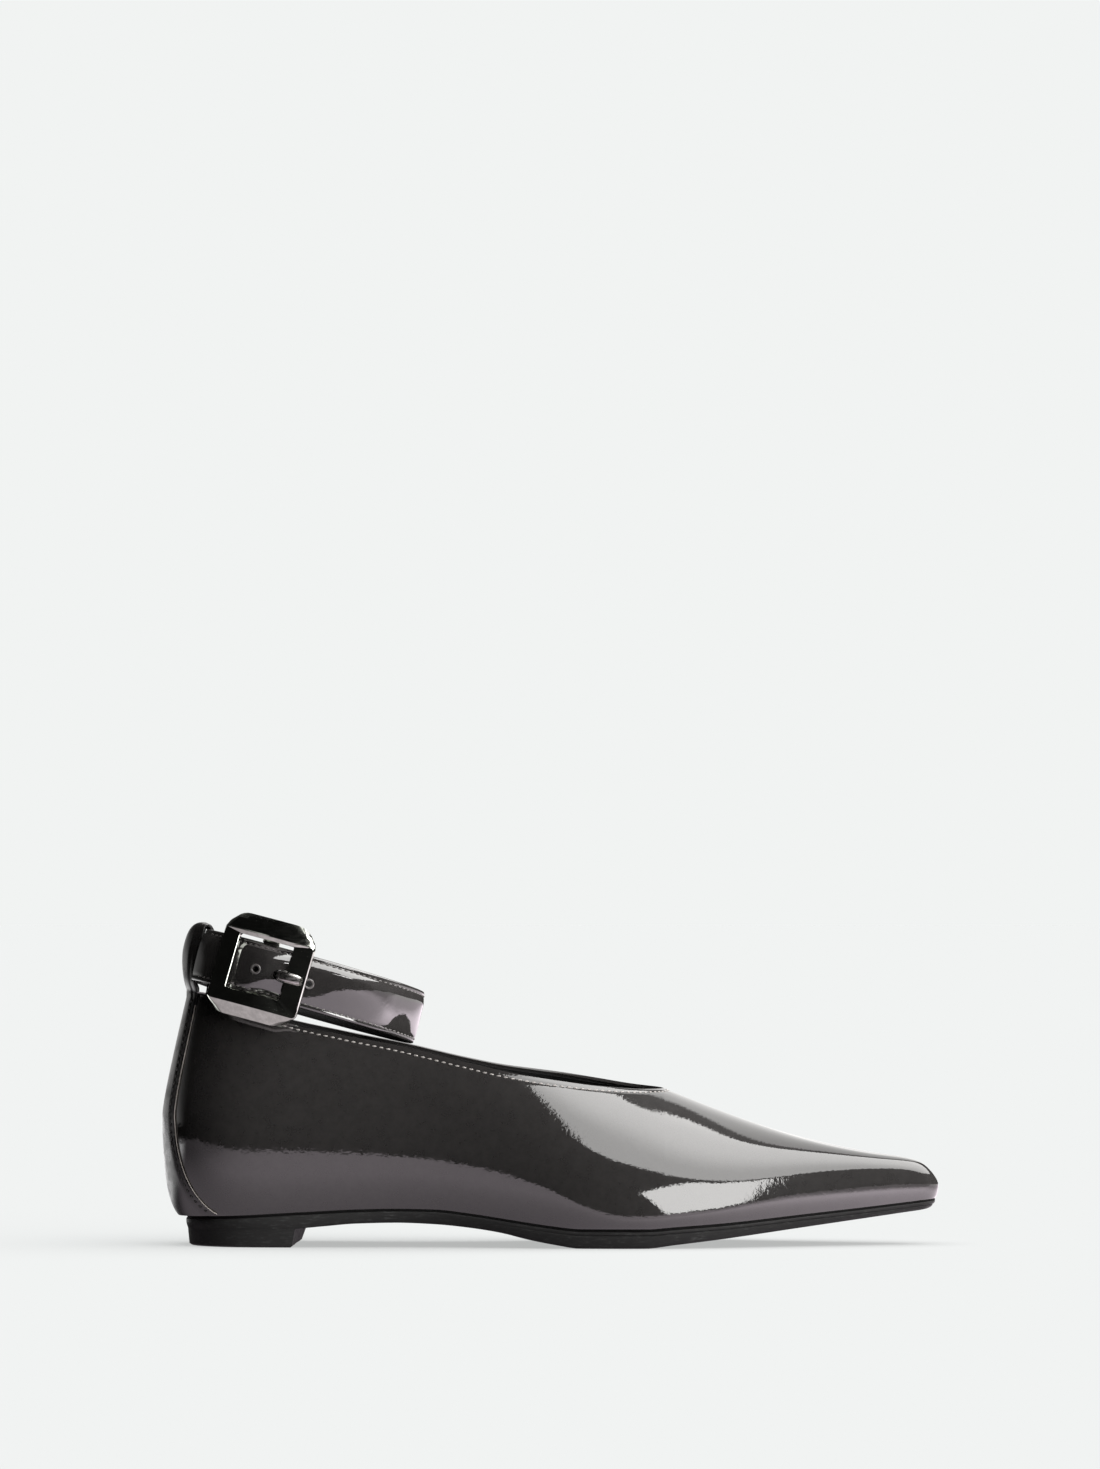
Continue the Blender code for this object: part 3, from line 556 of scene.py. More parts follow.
def rubber(name, colour, roughness):
    # moulded edge: fine scuffs along the shoe, dull mottling
    finish = Finish(name, {"IOR": rubberLook["ior"], "Specular IOR Level": rubberLook["specular"]})
    place = finish.place()
    stretched = finish.node("Mapping", {}, {"Vector": place, "Scale": rubberLook["stretch"]})
    scuff = finish.noise(rubberLook["scuffSize"], 4.0, 0.7, stretched)
    mottle = finish.noise(rubberLook["mottleSize"], 5.0, 0.7, place)
    marks = finish.step(scuff, 0.45, 0.8) * finish.step(mottle, 0.35, 0.75)
    finish.shades(marks, colour, *rubberLook["shades"])
    finish.gloss(mottle, 0.3, 0.8, roughness, rubberLook["spread"])
    grain = finish.noise(rubberLook["grainSize"], 3.0, 0.6, place)
    finish.feed("Normal", finish.bump(grain + 0.6 * scuff, rubberLook["grainDepth"]))
    return finish


platedLook = {
    "stretch": (0.08, 0.3, 1.0), "hairSize": 0.00035, "hairDepth": 0.0000012, "cloudSize": 0.003,
    "shades": (0.88, 1.1), "spread": (0.7, 1.6),
}


def plated(name, colour, roughness):
    # polished dark plating with hairline polishing marks
    finish = Finish(name, {"Metallic": 1.0})
    place = finish.place()
    stretched = finish.node("Mapping", {}, {"Vector": place, "Scale": platedLook["stretch"]})
    hair = finish.noise(platedLook["hairSize"], 2.0, 0.6, stretched)
    cloud = finish.step(finish.noise(platedLook["cloudSize"], 3.0, 0.6, place), 0.3, 0.7)
    finish.shades(cloud, colour, *platedLook["shades"])
    finish.gloss(hair, 0.3, 0.8, roughness, platedLook["spread"])
    finish.feed("Normal", finish.bump(hair, platedLook["hairDepth"]))
    return finish


threadLook = {"ior": 1.5, "fuzzSize": 0.00025, "fuzzDepth": 0.00005, "shades": (0.65, 1.2)}


def twisted(name, colour, roughness):
    # thread with a fuzzy, uneven tone
    finish = Finish(name, {"IOR": threadLook["ior"]})
    fuzz = finish.noise(threadLook["fuzzSize"], 3.0, 0.6, finish.place())
    finish.shades(finish.step(fuzz, 0.3, 0.7), colour, *threadLook["shades"])
    finish.feed("Roughness", roughness + 0.1 * fuzz)
    finish.feed("Normal", finish.bump(fuzz, threadLook["fuzzDepth"]))
    return finish


upperPatent = patent("upper patent")
strapPatent = patent("strap patent", 1.15, 0.035, 1.3, 2.4)
stripPatent = patent("strip patent", 0.5, 0.27)
# lighter copy of the patent for the hole rims: painted highlight
rimPatentLit = patent("rim patent, painted highlight", 3.8, 0.1)
liningCalf = calf("black lining", (0.012, 0.012, 0.0125), 0.55)
sockCalf = calf("black sock", (0.02, 0.02, 0.021), 0.5, 0.0009)
soleRubber = rubber("sole rubber", (0.034, 0.034, 0.034), 0.5)
treadRubber = rubber("tread rubber", (0.02, 0.02, 0.0205), 0.65)
heelRubber = rubber("heel rubber", (0.032, 0.032, 0.032), 0.55)
# near-black bead along the feather line: cement, and painted shadow in the gap between upper and sole
featherCementAndShade = rubber("feather cement and painted shade", (0.006, 0.006, 0.006), 0.8)
blackNickel = plated("black nickel", (0.74, 0.765, 0.70), 0.10)
prongNickel = plated("prong nickel", (0.58, 0.56, 0.55), 0.3)
# the collar's pale thread and the strap's grey thread are lighter than the heel strip's dark thread: their
# colour partly paints the glint the stitches catch
paleThreadWithGlint = twisted("pale thread with painted glint", (0.50, 0.47, 0.45), 0.4)
greyThreadWithGlint = twisted("grey thread with painted glint", (0.20, 0.19, 0.185), 0.4)
darkThread = twisted("dark thread", (0.03, 0.029, 0.029), 0.45)
# the raw cut edge: its light matt colour also paints the highlight along the edge
rawEdgeWithHighlight = calf("raw edge with painted highlight", (0.40, 0.365, 0.34), 0.55, 0.0004, 0.00003)
print("finishes ready")


upper = {
    "wall": 1.2, "collarRound": 0.45, "alongSteps": 150, "lowerRows": 14, "sideRows": 34,
    "neck": 0.055, "neckSteps": 16, "heelCrowd": 1.2, "toeCrowd": 1.35,
    "collarRows": (5.0, 4.3, 3.7, 3.2, 2.8, 2.45, 2.1, 1.8, 1.5, 1.1, 0.7, 0.35, 0.0),
    "stitchIn": 2.1, "stitchTrough": 0.16, "stitchTroughHalf": 0.55,
    "stitchNear": (40.0, 90.0), "stitchNearShare": (0.62, 1.0),  # closer to the edge at the heel
    "lineSteps": 260, "lineCrowd": 2.2, "liningBack": 1.25, "liningWall": 0.4, "liningDrop": 0.9,
}


def alongShares(steps):
    # heel to toe, closer together at the heel, the throat and the tip
    half, short, near = steps // 2, upper["neckSteps"], upper["neck"]
    heel = [(throat - near) * (k / half) ** upper["heelCrowd"] for k in range(half + 1)]
    neck = [throat - near * (1 - k / short) ** 2 for k in range(1, short + 1)]
    front = half - short
    toe = [1 - (1 - throat) * (1 - k / front) ** upper["toeCrowd"] for k in range(1, front + 1)]
    return np.array(heel + neck + toe)


def upperPoints():
    shares = alongShares(upper["alongSteps"])
    q = np.concatenate((shares[::-1], -shares[1:]))
    top = collarShare(q)
    fine = np.linspace(0.0, 1.0, 81)
    line = skin(q[:, None], 1 + top[:, None] * fine[None, :])
    run = np.cumsum(np.linalg.norm(np.diff(line, axis=1), axis=2), axis=1)
    run = np.concatenate((np.zeros((len(q), 1)), run), axis=1)
    low = np.linspace(0.0, 1.0, upper["lowerRows"] + 1)
    heights = []
    for i in range(len(q)):
        whole = run[i, -1]
        reach = np.minimum(np.array(upper["collarRows"]), whole * 0.5)
        side = np.linspace(0.0, whole - reach[0], upper["sideRows"] + 1)[1:]
        stops = np.concatenate((side, whole - reach[1:]))
        heights.append(np.concatenate((low, 1 + top[i] * np.interp(stops, run[i], fine))))
    return q, skin(q[:, None], np.array(heights))


upperQ, upperGrid = upperPoints()
upperShell = layGrid("upper_shell", upperGrid.transpose(1, 0, 2))
weld(upperShell)


def surfaceTree(obj):
    return BVHTree.FromPolygons(corners(obj).tolist(), facesOf(obj))


def onSurface(tree, points):
    spots, normals = [], []
    for point in points:
        spot, normal, _, _ = tree.find_nearest(Vector(toWorld(point)))
        spots.append(np.array(spot) / mm + shoeOrigin)
        normals.append(np.array(normal))
    return np.array(spots), np.array(normals)


def collarLine(inset):
    # the line running inset from the collar edge, round the throat as well
    half = throat * (1 - (1 - np.linspace(0.0, 1.0, upper["lineSteps"])) ** upper["lineCrowd"])
    q = np.concatenate((half[::-1], -half[1:]))
    edge = skin(q, 1 + collarShare(q))
    tree = surfaceTree(upperShell)
    _, normals = onSurface(tree, edge)
    run = np.gradient(edge, axis=0)
    run /= np.linalg.norm(run, axis=1)[:, None] + 1e-12
    down = unit(np.cross(run, normals))
    if down[len(q) // 4, 2] > 0:
        down = -down
    inset = inset * np.interp(edge[:, 0], upper["stitchNear"], upper["stitchNearShare"])
    return onSurface(tree, edge + down * inset[:, None])


stitchLine, stitchNormals = collarLine(upper["stitchIn"])


def pointTree(points):
    tree = KDTree(len(points))
    for i, point in enumerate(points):
        tree.insert(Vector(toWorld(point)), i)
    tree.balance()
    return tree


def pressTrough(obj, line, depth, half):
    # a soft trough along a line of points
    tree = pointTree(line)
    normals = [v.normal.copy() for v in obj.data.vertices]
    for vertex, normal in zip(obj.data.vertices, normals):
        _, _, gap = tree.find(vertex.co)
        share = gap / (half * mm)
        if share < 3:
            vertex.co -= normal * (depth * mm * math.exp(-share * share))
    obj.data.update()


denseLine = evenWalk(stitchLine, 0.25)
liningSheet = copied(upperShell, "upper_lining")
pressTrough(upperShell, denseLine, upper["stitchTrough"], upper["stitchTroughHalf"])
applied(upperShell, "SOLIDIFY", thickness=upper["wall"] * mm, offset=-1.0, use_even_offset=False)
rounded(upperShell, upper["collarRound"] * mm, 3, 55)
dressed(smoothed(upperShell, 50), upperPatent)
placed(upperShell, "upper", "upper")
print("upper", len(upperShell.data.polygons), "faces")


def trimLining():
    # the lining stops short of the collar edge
    tree = pointTree(skin(upperQ, 1 + collarShare(upperQ)))
    atCollar = np.abs(upperQ) < throat
    pick(liningSheet)
    bpy.ops.object.mode_set(mode="EDIT")
    bpy.ops.mesh.select_mode(type="VERT")
    bpy.ops.mesh.select_all(action="DESELECT")
    bpy.ops.object.mode_set(mode="OBJECT")
    for vertex in liningSheet.data.vertices:
        _, i, gap = tree.find(vertex.co)
        vertex.select = bool(atCollar[i]) and gap < upper["liningDrop"] * mm
    bpy.ops.object.mode_set(mode="EDIT")
    bpy.ops.mesh.delete(type="VERT")
    bpy.ops.object.mode_set(mode="OBJECT")


trimLining()
applied(liningSheet, "DISPLACE", strength=-upper["liningBack"] * mm, mid_level=0.0)
applied(liningSheet, "SOLIDIFY", thickness=upper["liningWall"] * mm, offset=-1.0)
dressed(smoothed(liningSheet, 50), liningCalf)
placed(liningSheet, "insole")
print("lining", len(liningSheet.data.polygons), "faces")


stitch = {
    "pitch": 2.42, "long": 1.6, "wide": 0.62, "high": 0.52, "slant": 9.0, "blunt": 0.8,
    "sunk": 0.10, "collarFrom": 24.0,
}


def stitchShape():
    obj = started("one_stitch", bpy.ops.mesh.primitive_uv_sphere_add, segments=8, ring_count=6, radius=0.5)
    points, faces = corners(obj), facesOf(obj)
    points[:, 0] = np.sign(points[:, 0]) * np.abs(points[:, 0] * 2) ** stitch["blunt"] / 2
    bpy.data.objects.remove(obj)
    return points, faces


stitchPoints, stitchFaces = stitchShape()


def sewn(name, lines, finish, slot, size=stitch):
    # one joined mesh of stitches along (points, normals) lines
    allPoints, allFaces = [], []
    slant = math.radians(size["slant"])
    shape = stitchPoints * (size["long"], size["wide"], size["high"])
    turned = shape.copy()
    turned[:, 0] = shape[:, 0] * math.cos(slant) - shape[:, 1] * math.sin(slant)
    turned[:, 1] = shape[:, 0] * math.sin(slant) + shape[:, 1] * math.cos(slant)
    for path, normals in lines:
        spots = evenWalk(path, size["pitch"])
        nearest = [int(np.argmin(np.linalg.norm(path - spot, axis=1))) for spot in spots]
        runs = np.gradient(path, axis=0)
        for spot, i in zip(spots, nearest):
            out = unit(normals[i])
            run = unit(runs[i] - out * np.dot(runs[i], out))
            axes = np.array((run, np.cross(out, run), out))
            start = len(allPoints)
            allPoints.extend(spot + turned @ axes)
            allFaces.extend(tuple(start + k for k in face) for face in stitchFaces)
    mesh = bpy.data.meshes.new(name)
    mesh.from_pydata([tuple(p) for p in toWorld(allPoints)], [], allFaces)
    obj = bpy.data.objects.new(name, mesh)
    bpy.context.collection.objects.link(obj)
    dressed(smoothed(obj), finish)
    placed(obj, slot)
    print(name, len(allFaces), "faces")
    return obj


def collarSeam():
    # round the throat, and stopping where the heel strip covers the edge
    line = stitchLine - stitchNormals * stitch["sunk"]
    clear = np.flatnonzero(stitchLine[:, 0] > stitch["collarFrom"])
    runs = np.split(clear, np.flatnonzero(np.diff(clear) > 1) + 1)
    return [(line[run], stitchNormals[run]) for run in runs if len(run) > 3]


sewn("collar_stitches", collarSeam(), paleThreadWithGlint, "upper")


strip = {
    "gap": 0.06, "thick": 1.2, "footRise": 1.3, "topDrop": 3.2, "rows": 60, "cols": 40,
    "halfZ": (9, 14, 20, 28, 38, 50, 65, 78, 84.5, 88, 92),
    "half": (28.5, 25, 21.6, 18.2, 15.6, 14.2, 12.7, 11.1, 10.0, 9.6, 9.5),
    "loopX": (9.9, 8.9, 8.4, 8.6, 9.7, 11.2, 13.2, 15.4, 17.3, 17.4, 16.4, 15.2, 14.6),
    "loopZ": (88.8, 92.4, 97.2, 102, 106.4, 109.3, 110.6, 109.8, 105.6, 99.6, 93, 86, 80),
    "loopBend": (3.0, 3.0, 3.9, 4.6, 4.8, 4.2, 3.4, 3.7, 3.8, 3.5, 3.2, 3.0, 3.0),
    "loopHalf": (9.5, 9.5, 9.5, 9.5, 9.5, 9.4, 8.6, 6.6, 5.2, 4.8, 4.8, 4.8, 4.8), "loopSteps": 72,
    "edgeIn": 2.0, "edgePuff": 0.16, "edgeRound": 0.1, "skive": 3.2, "skiveTo": 0.42, "rawTop": 83.0,
    "footCrowd": 1.25, "drawnWide": 0.6, "proudAt": 0.45, "proudWide": 0.7, "proudShare": 0.6,
    "seamMiddle": (40.0, 0.0, 0.0), "seamSunk": 0.05,
}
stripHalf = evenCurve(strip["halfZ"], strip["half"])


def stripRow(height, half, shares):
    # points across the strip at one height, measured round the heel
    fine = np.linspace(0.0, 0.45, 400)
    run = np.cumsum(np.linalg.norm(np.diff(skin(fine, np.full(400, height)), axis=0), axis=1))
    reach = np.interp(half * np.abs(shares), np.append(0.0, run), fine)
    return np.sign(shares) * reach


def skinNormals(q, height):
    step = 1e-4
    along = skin(q + step, height) - skin(q - step, height)
    up = skin(q, height + step) - skin(q, np.maximum(height - step, 0.0))
    return unit(np.cross(up, along))


def stripPoints():
    shares = np.linspace(-1.0, 1.0, strip["cols"] + 1)
    backZ = np.linspace(0.0, 2.0, 600)
    backLine = skin(np.zeros(600), backZ)[:, 2]
    footZ = backLine[0] + strip["footRise"]
    topZ = last["collarZ"][0] - strip["topDrop"]
    rows, halves = [], []
    for k in range(strip["rows"] + 1):
        z = footZ + (topZ - footZ) * (k / strip["rows"]) ** strip["footCrowd"]
        height = float(np.interp(z, backLine, backZ))
        half = float(stripHalf(z))
        q = stripRow(height, half, shares)
        level = np.full(len(q), height)
        rows.append(skin(q, level) + skinNormals(q, level) * strip["gap"])
        halves.append(half)
    turns = np.linspace(0.0, len(strip["loopX"]) - 1.0, strip["loopSteps"] + 1)
    loopX, loopZ = naturalCurve(strip["loopX"])(turns), naturalCurve(strip["loopZ"])(turns)
    loopBend = naturalCurve(strip["loopBend"])(turns)
    loopHalf = np.interp(turns, np.arange(len(strip["loopX"])), strip["loopHalf"])
    for x, z, bend, half in zip(loopX, loopZ, loopBend, loopHalf):
        y = shares * half
        edge = shares * half / strip["loopHalf"][0]
        rows.append(np.stack((x + bend * edge ** 2, y, np.full(len(y), z)), -1))
        halves.append(half)
    return np.array(rows), np.array(halves), shares


stripGrid, stripHalves, stripShares = stripPoints()
heelStrip = layGrid("heel_strip_leather", stripGrid[:, ::-1])


# how far each vertex is from the nearer long edge
stripInward = np.outer(stripHalves, 1 - np.abs(stripShares)).ravel()


def puffEdges(obj):
    # the border outside the stitch row stands a little proud, the row itself is drawn in
    drawn = np.exp(-((stripInward - strip["edgeIn"]) / strip["drawnWide"]) ** 2)
    proud = np.exp(-((stripInward - strip["edgeIn"] * strip["proudAt"]) / strip["proudWide"]) ** 2)
    rise = mm * strip["edgePuff"] * (strip["proudShare"] * proud - drawn)
    normals = np.array([v.normal for v in obj.data.vertices])
    moved(obj, corners(obj) + normals * rise[:, None])


def skiveEdges(obj):
    # the leather is pared thinner towards its two long edges
    group = obj.vertex_groups.new(name="thick")
    for i, inward in enumerate(stripInward):
        share = float(easeStep(inward / strip["skive"]))
        group.add([i], strip["skiveTo"] + (1 - strip["skiveTo"]) * share, "REPLACE")


puffEdges(heelStrip)
dressed(heelStrip, stripPatent, rawEdgeWithHighlight, liningCalf)
skiveEdges(heelStrip)
applied(heelStrip, "SOLIDIFY", thickness=strip["thick"] * mm, offset=1.0, material_offset=2,
        material_offset_rim=1, vertex_group="thick")
# rims low on the strip take the raw edge finish, whose light colour partly paints the edge highlight; rims
# higher up are black
for polygon in heelStrip.data.polygons:
    if polygon.material_index == 1 and polygon.center.z > strip["rawTop"] * mm:
        polygon.material_index = 2
rounded(heelStrip, strip["edgeRound"] * mm, 2, 55)
smoothed(heelStrip, 50)
placed(heelStrip, "heel_strip", "heel_strip")


def stripSeams():
    lines = []
    for sign in (-1, 1):
        path = []
        for row in range(1, strip["rows"] + 1):
            share = sign * (1 - strip["edgeIn"] / stripHalves[row])
            path.append([np.interp(share, stripShares, stripGrid[row, :, k]) for k in range(3)])
        out = unit((np.array(path) - strip["seamMiddle"]) * (1.0, 1.0, 0.0))
        lines.append((path + out * (strip["thick"] - strip["seamSunk"]), out))
    return lines


sewn("strip_stitches", stripSeams(), darkThread, "heel_strip")


strap = {
    "centre": (51.1, 0.0, 89.5), "halfLength": 39.3, "halfWidth": 27.5, "pitch": 15.8, "roll": 4.4,
    "width": 18.5, "thick": 1.8, "tailLift": 3.1, "tailRest": 2.2, "riseStart": 74.0,
    "riseEnd": 19.0, "tailEnd": 10.5, "buckleAngle": 66.8,
    "holePitch": 8.8, "holeRadius": 1.05, "prongHole": 7.8, "prongHoleLong": 3.2, "prongHoleWide": 2.1,
    "holeAcross": -0.5, "step": 0.9, "edgeIn": 1.7, "edgePuff": 0.14, "crown": 0.5, "lean": 0.02,
    "rollFrom": 4.4, "rollOver": 1.2, "rollSlope": 0.21, "faceCols": 33, "underCols": 13,
    "faceCrowd": 0.93, "rim": 0.35, "rimTurns": (30, 60, 90, 120, 150), "start": -1.6,
    "drawnWide": 0.5, "proudAt": 0.75, "proudWide": 0.6, "proudShare": 0.7,
    # each wave: height, length, slant, start
    "waves": ((0.10, 9.0, 0.16, 0.6), (0.05, 4.1, -0.31, 1.9)),
    "ripple": 0.016, "rippleShapes": ((1.1, 0.42, 0.4), (2.9, -0.2, 0.0)),
    "bulge": 2.1, "bulgeAt": 1.7, "bulgeReach": (7.6, 9.5), "bulgeTop": 1.12, "bulgeBlunt": 0.015,
    "leanMore": 0.14, "leanUpTo": 3.0, "leanSoft": 6.0, "leanBack": 0.35,
    # start and length of each change of lean along the tail
    "leanGrows": (-3.0, 6.0), "leanFades": (24.0, 26.0), "leanTurns": (52.0, 16.0),
    "punchDeep": 6.0, "punchOut": 3.2, "seamOut": 0.06, "seamEnds": (6, -4),
    "pressGap": 0.38, "pressThick": 0.42, "pressFlat": 0.7, "innerFace": -0.3,
}
ringTurns = np.linspace(0.0, 2 * math.pi, 2881)
ringFlat = np.stack((-strap["halfLength"] * np.cos(ringTurns), -strap["halfWidth"] * np.sin(ringTurns)), -1)
ringArc = np.append(0.0, np.cumsum(np.linalg.norm(np.diff(ringFlat, axis=0), axis=1)))
ringRound = ringArc[-1]
buckleArc = float(np.interp(math.radians(strap["buckleAngle"]), ringTurns, ringArc))
pitch, roll = math.radians(strap["pitch"]), math.radians(strap["roll"])
ringFore = np.array((math.cos(pitch), 0.0, -math.sin(pitch)))
ringIn = np.array((0.0, math.cos(roll), -math.sin(roll)))
ringUp = unit(np.cross(ringFore, ringIn))


def onRing(flat):
    # strap directions (along, across, out) to the shoe; along is 0 at the buckle
    flat = np.asarray(flat, float)
    turn = np.interp((buckleArc + flat[..., 0]) % ringRound, ringArc, ringTurns)
    fore, side = -strap["halfLength"] * np.cos(turn), -strap["halfWidth"] * np.sin(turn)
    normal = unit(np.stack((-np.cos(turn) / strap["halfLength"], -np.sin(turn) / strap["halfWidth"]), -1))
    fore = fore + normal[..., 0] * flat[..., 2]
    side = side + normal[..., 1] * flat[..., 2]
    place = np.array(strap["centre"]) + fore[..., None] * ringFore + side[..., None] * ringIn
    return place + flat[..., 1][..., None] * ringUp


def tailLift(place):
    rise = 1 - easeStep((place - strap["riseEnd"]) / (strap["riseStart"] - strap["riseEnd"]))
    drop = easeStep((-place - strap["riseEnd"]) / strap["riseEnd"])
    under = strap["tailLift"] + (strap["tailRest"] - strap["tailLift"]) * drop
    return np.where(place > 0, strap["tailLift"] * rise, under)


def strapBend(across):
    # the band is crowned, leans a little, and its upper border rolls inwards
    across = np.asarray(across, float)
    past = np.clip((across - strap["rollFrom"]) / strap["rollOver"], 0.0, None)
    rolled = np.where(past < 1, past * past / 2, past - 0.5) * strap["rollOver"] * strap["rollSlope"]
    return strap["lean"] * across - strap["crown"] * (across / (strap["width"] / 2)) ** 2 - rolled


def strapFace(across):
    # the outer face over the bent band: proud border, drawn-in seam
    inward = strap["width"] / 2 - np.abs(across)
    drawn = np.exp(-((inward - strap["edgeIn"]) / strap["drawnWide"]) ** 2)
    proud = np.exp(-((inward - strap["proudAt"]) / strap["proudWide"]) ** 2)
    return strap["edgePuff"] * (strap["proudShare"] * proud - drawn) + strapBend(across)


def strapWaves(along, across):
    # slight buckling of the band between its seams
    def sway(long, slant, start):
        return np.sin(along / long + across * slant + start)

    first, second = strap["rippleShapes"]
    wave = sum(high * sway(*shape) for high, *shape in strap["waves"])
    wave = wave + strap["ripple"] * sway(*first) * sway(*second)
    return wave * np.cos(np.clip(across / (strap["width"] / 2), -1, 1) * math.pi / 2)


def prongBulge(place, across):
    # the tail lifts where the prong comes up under it, and leans more past the buckle
    share = np.clip(across / (strap["width"] / 2), -1, 1)
    reach = np.where(place > strap["bulgeAt"], *strap["bulgeReach"])
    far = np.sqrt(((place - strap["bulgeAt"]) / reach) ** 2 + strap["bulgeBlunt"])
    lump = strap["bulge"] * np.clip(strap["bulgeTop"] - far, 0.0, None) * (1 - share ** 4)
    grows, fades, turns = (easeStep((place - start) / length) for start, length in
                           (strap["leanGrows"], strap["leanFades"], strap["leanTurns"]))
    lean = grows * (1 - fades) - strap["leanBack"] * turns
    below = across - strap["leanUpTo"]
    return lump + strap["leanMore"] * lean * (below - np.sqrt(below ** 2 + strap["leanSoft"])) / 2


strapLength = ringRound + strap["start"] + buckleArc - strap["tailEnd"]


def strapPoints():
    half, thick, rim = strap["width"] / 2, strap["thick"] / 2, strap["rim"]
    steps = int(round(strapLength / strap["step"]))
    along = strap["start"] - strapLength * np.linspace(0.0, 1.0, steps + 1)
    lift = tailLift(along + ringRound)
    face = np.sin(np.linspace(-1, 1, strap["faceCols"]) * math.pi / 2 * strap["faceCrowd"])
    face = face / face[-1] * (half - rim)
    turns = np.radians(strap["rimTurns"])
    edge = [(half - rim + rim * math.sin(t), thick * math.cos(t)) for t in turns]
    under = np.linspace(half - rim, rim - half, strap["underCols"])
    # the face, one rim, the underside and the other rim, as across, out and share of the waves
    loop = [(a, thick + float(strapFace(a)), 1.0) for a in face]
    loop += [(a, out + float(strapBend(a)), 0.0) for a, out in edge]
    loop += [(a, float(strapBend(a)) - thick, 0.0) for a in under]
    loop += [(-a, out + float(strapBend(-a)), 0.0) for a, out in edge[::-1]]
    loop.append(loop[0])
    grid = np.zeros((len(along), len(loop), 3))
    for k, (across, out, waving) in enumerate(loop):
        spread = np.full(len(along), across)
        level = lift + out + prongBulge(along + ringRound, spread)
        grid[:, k] = np.stack((along, spread, level + waving * strapWaves(along, spread)), -1)
    return along, lift, grid


strapAlong, strapLift, strapFlat = strapPoints()


def flatObject(obj):
    # numbers of a flat piece are millimetres along, across and out; wrap it on the ring
    return moved(obj, toWorld(onRing(corners(obj))))


def flatGrid(name, grid):
    obj = layGrid(name, grid)
    return moved(obj, corners(obj) / mm + shoeOrigin)


def closeEnds(obj, reach=1e-4):
    # fill the two open ends of a closed band
    weld(obj, reach)
    bpy.ops.object.mode_set(mode="EDIT")
    bpy.ops.mesh.select_all(action="DESELECT")
    bpy.ops.mesh.select_mode(type="EDGE")
    bpy.ops.mesh.select_non_manifold()
    bpy.ops.mesh.edge_face_add()
    bpy.ops.mesh.select_all(action="SELECT")
    bpy.ops.mesh.normals_make_consistent(inside=False)
    bpy.ops.object.mode_set(mode="OBJECT")


def punched(obj, along, halfLong, halfWide):
    # cut a hole through the tail only
    cutter = started("punch", bpy.ops.mesh.primitive_cylinder_add, vertices=24, radius=1.0,
                     depth=strap["punchDeep"])
    middle = (along, strap["holeAcross"], strap["punchOut"])
    moved(cutter, corners(cutter) * (halfLong, halfWide, 1.0) + middle)
    cutAway(obj, cutter)


ankleStrap = flatGrid("strap_leather", strapFlat)
closeEnds(ankleStrap)
tailHole = strap["prongHole"] - ringRound
freeHoles = (tailHole - strap["holePitch"], tailHole + strap["holePitch"])
for place in freeHoles:
    punched(ankleStrap, place, strap["holeRadius"], strap["holeRadius"])
punched(ankleStrap, tailHole, strap["prongHoleLong"], strap["prongHoleWide"])
dressed(ankleStrap, strapPatent, liningCalf)
ankleStrap.data.update()
for polygon in ankleStrap.data.polygons:
    polygon.material_index = 1 if polygon.normal.z < strap["innerFace"] else 0
flatObject(ankleStrap)
weld(ankleStrap, 1e-7)
smoothed(ankleStrap, 40)
placed(ankleStrap, "ankle_strap", "ankle_strap")
print("strap", len(ankleStrap.data.polygons), "faces")


strapStitch = dict(stitch, pitch=2.2, long=1.45, wide=0.6)


def strapSeams():
    lines = []
    first, final = strap["seamEnds"]
    for across in (strap["edgeIn"] - strap["width"] / 2, strap["width"] / 2 - strap["edgeIn"]):
        out = strap["thick"] / 2 + float(strapFace(across)) + strap["seamOut"]
        spread = np.full(len(strapAlong), across)
        level = strapLift + out + prongBulge(strapAlong + ringRound, spread)
        flat = np.stack((strapAlong, spread, level), -1)[first:final]
        path = onRing(flat)
        lines.append((path, onRing(flat + (0.0, 0.0, 1.0)) - path))
    return lines


sewn("strap_stitches", strapSeams(), greyThreadWithGlint, "ankle_strap", strapStitch)


def holeRims():
    # pressed rings round the two punched holes, in a lighter patent that paints the highlight on the rims
    rims = []
    for place in freeHoles:
        wide = strap["holeRadius"] + strap["pressGap"]
        rim = started("rim", bpy.ops.mesh.primitive_torus_add, major_segments=28, minor_segments=10,
                      major_radius=wide, minor_radius=strap["pressThick"])
        level = strap["thick"] / 2 + float(tailLift(np.array(place + ringRound)))
        points = corners(rim) * (1.0, 1.0, strap["pressFlat"]) + (place, strap["holeAcross"], level)
        points[:, 2] += prongBulge(points[:, 0] + ringRound, points[:, 1])
        rims.append(flatObject(moved(rim, points)))
    joined(*rims)
    rim = named("hole_rims")
    dressed(smoothed(rim), rimPatentLit)
    placed(rim, "ankle_strap")


holeRims()


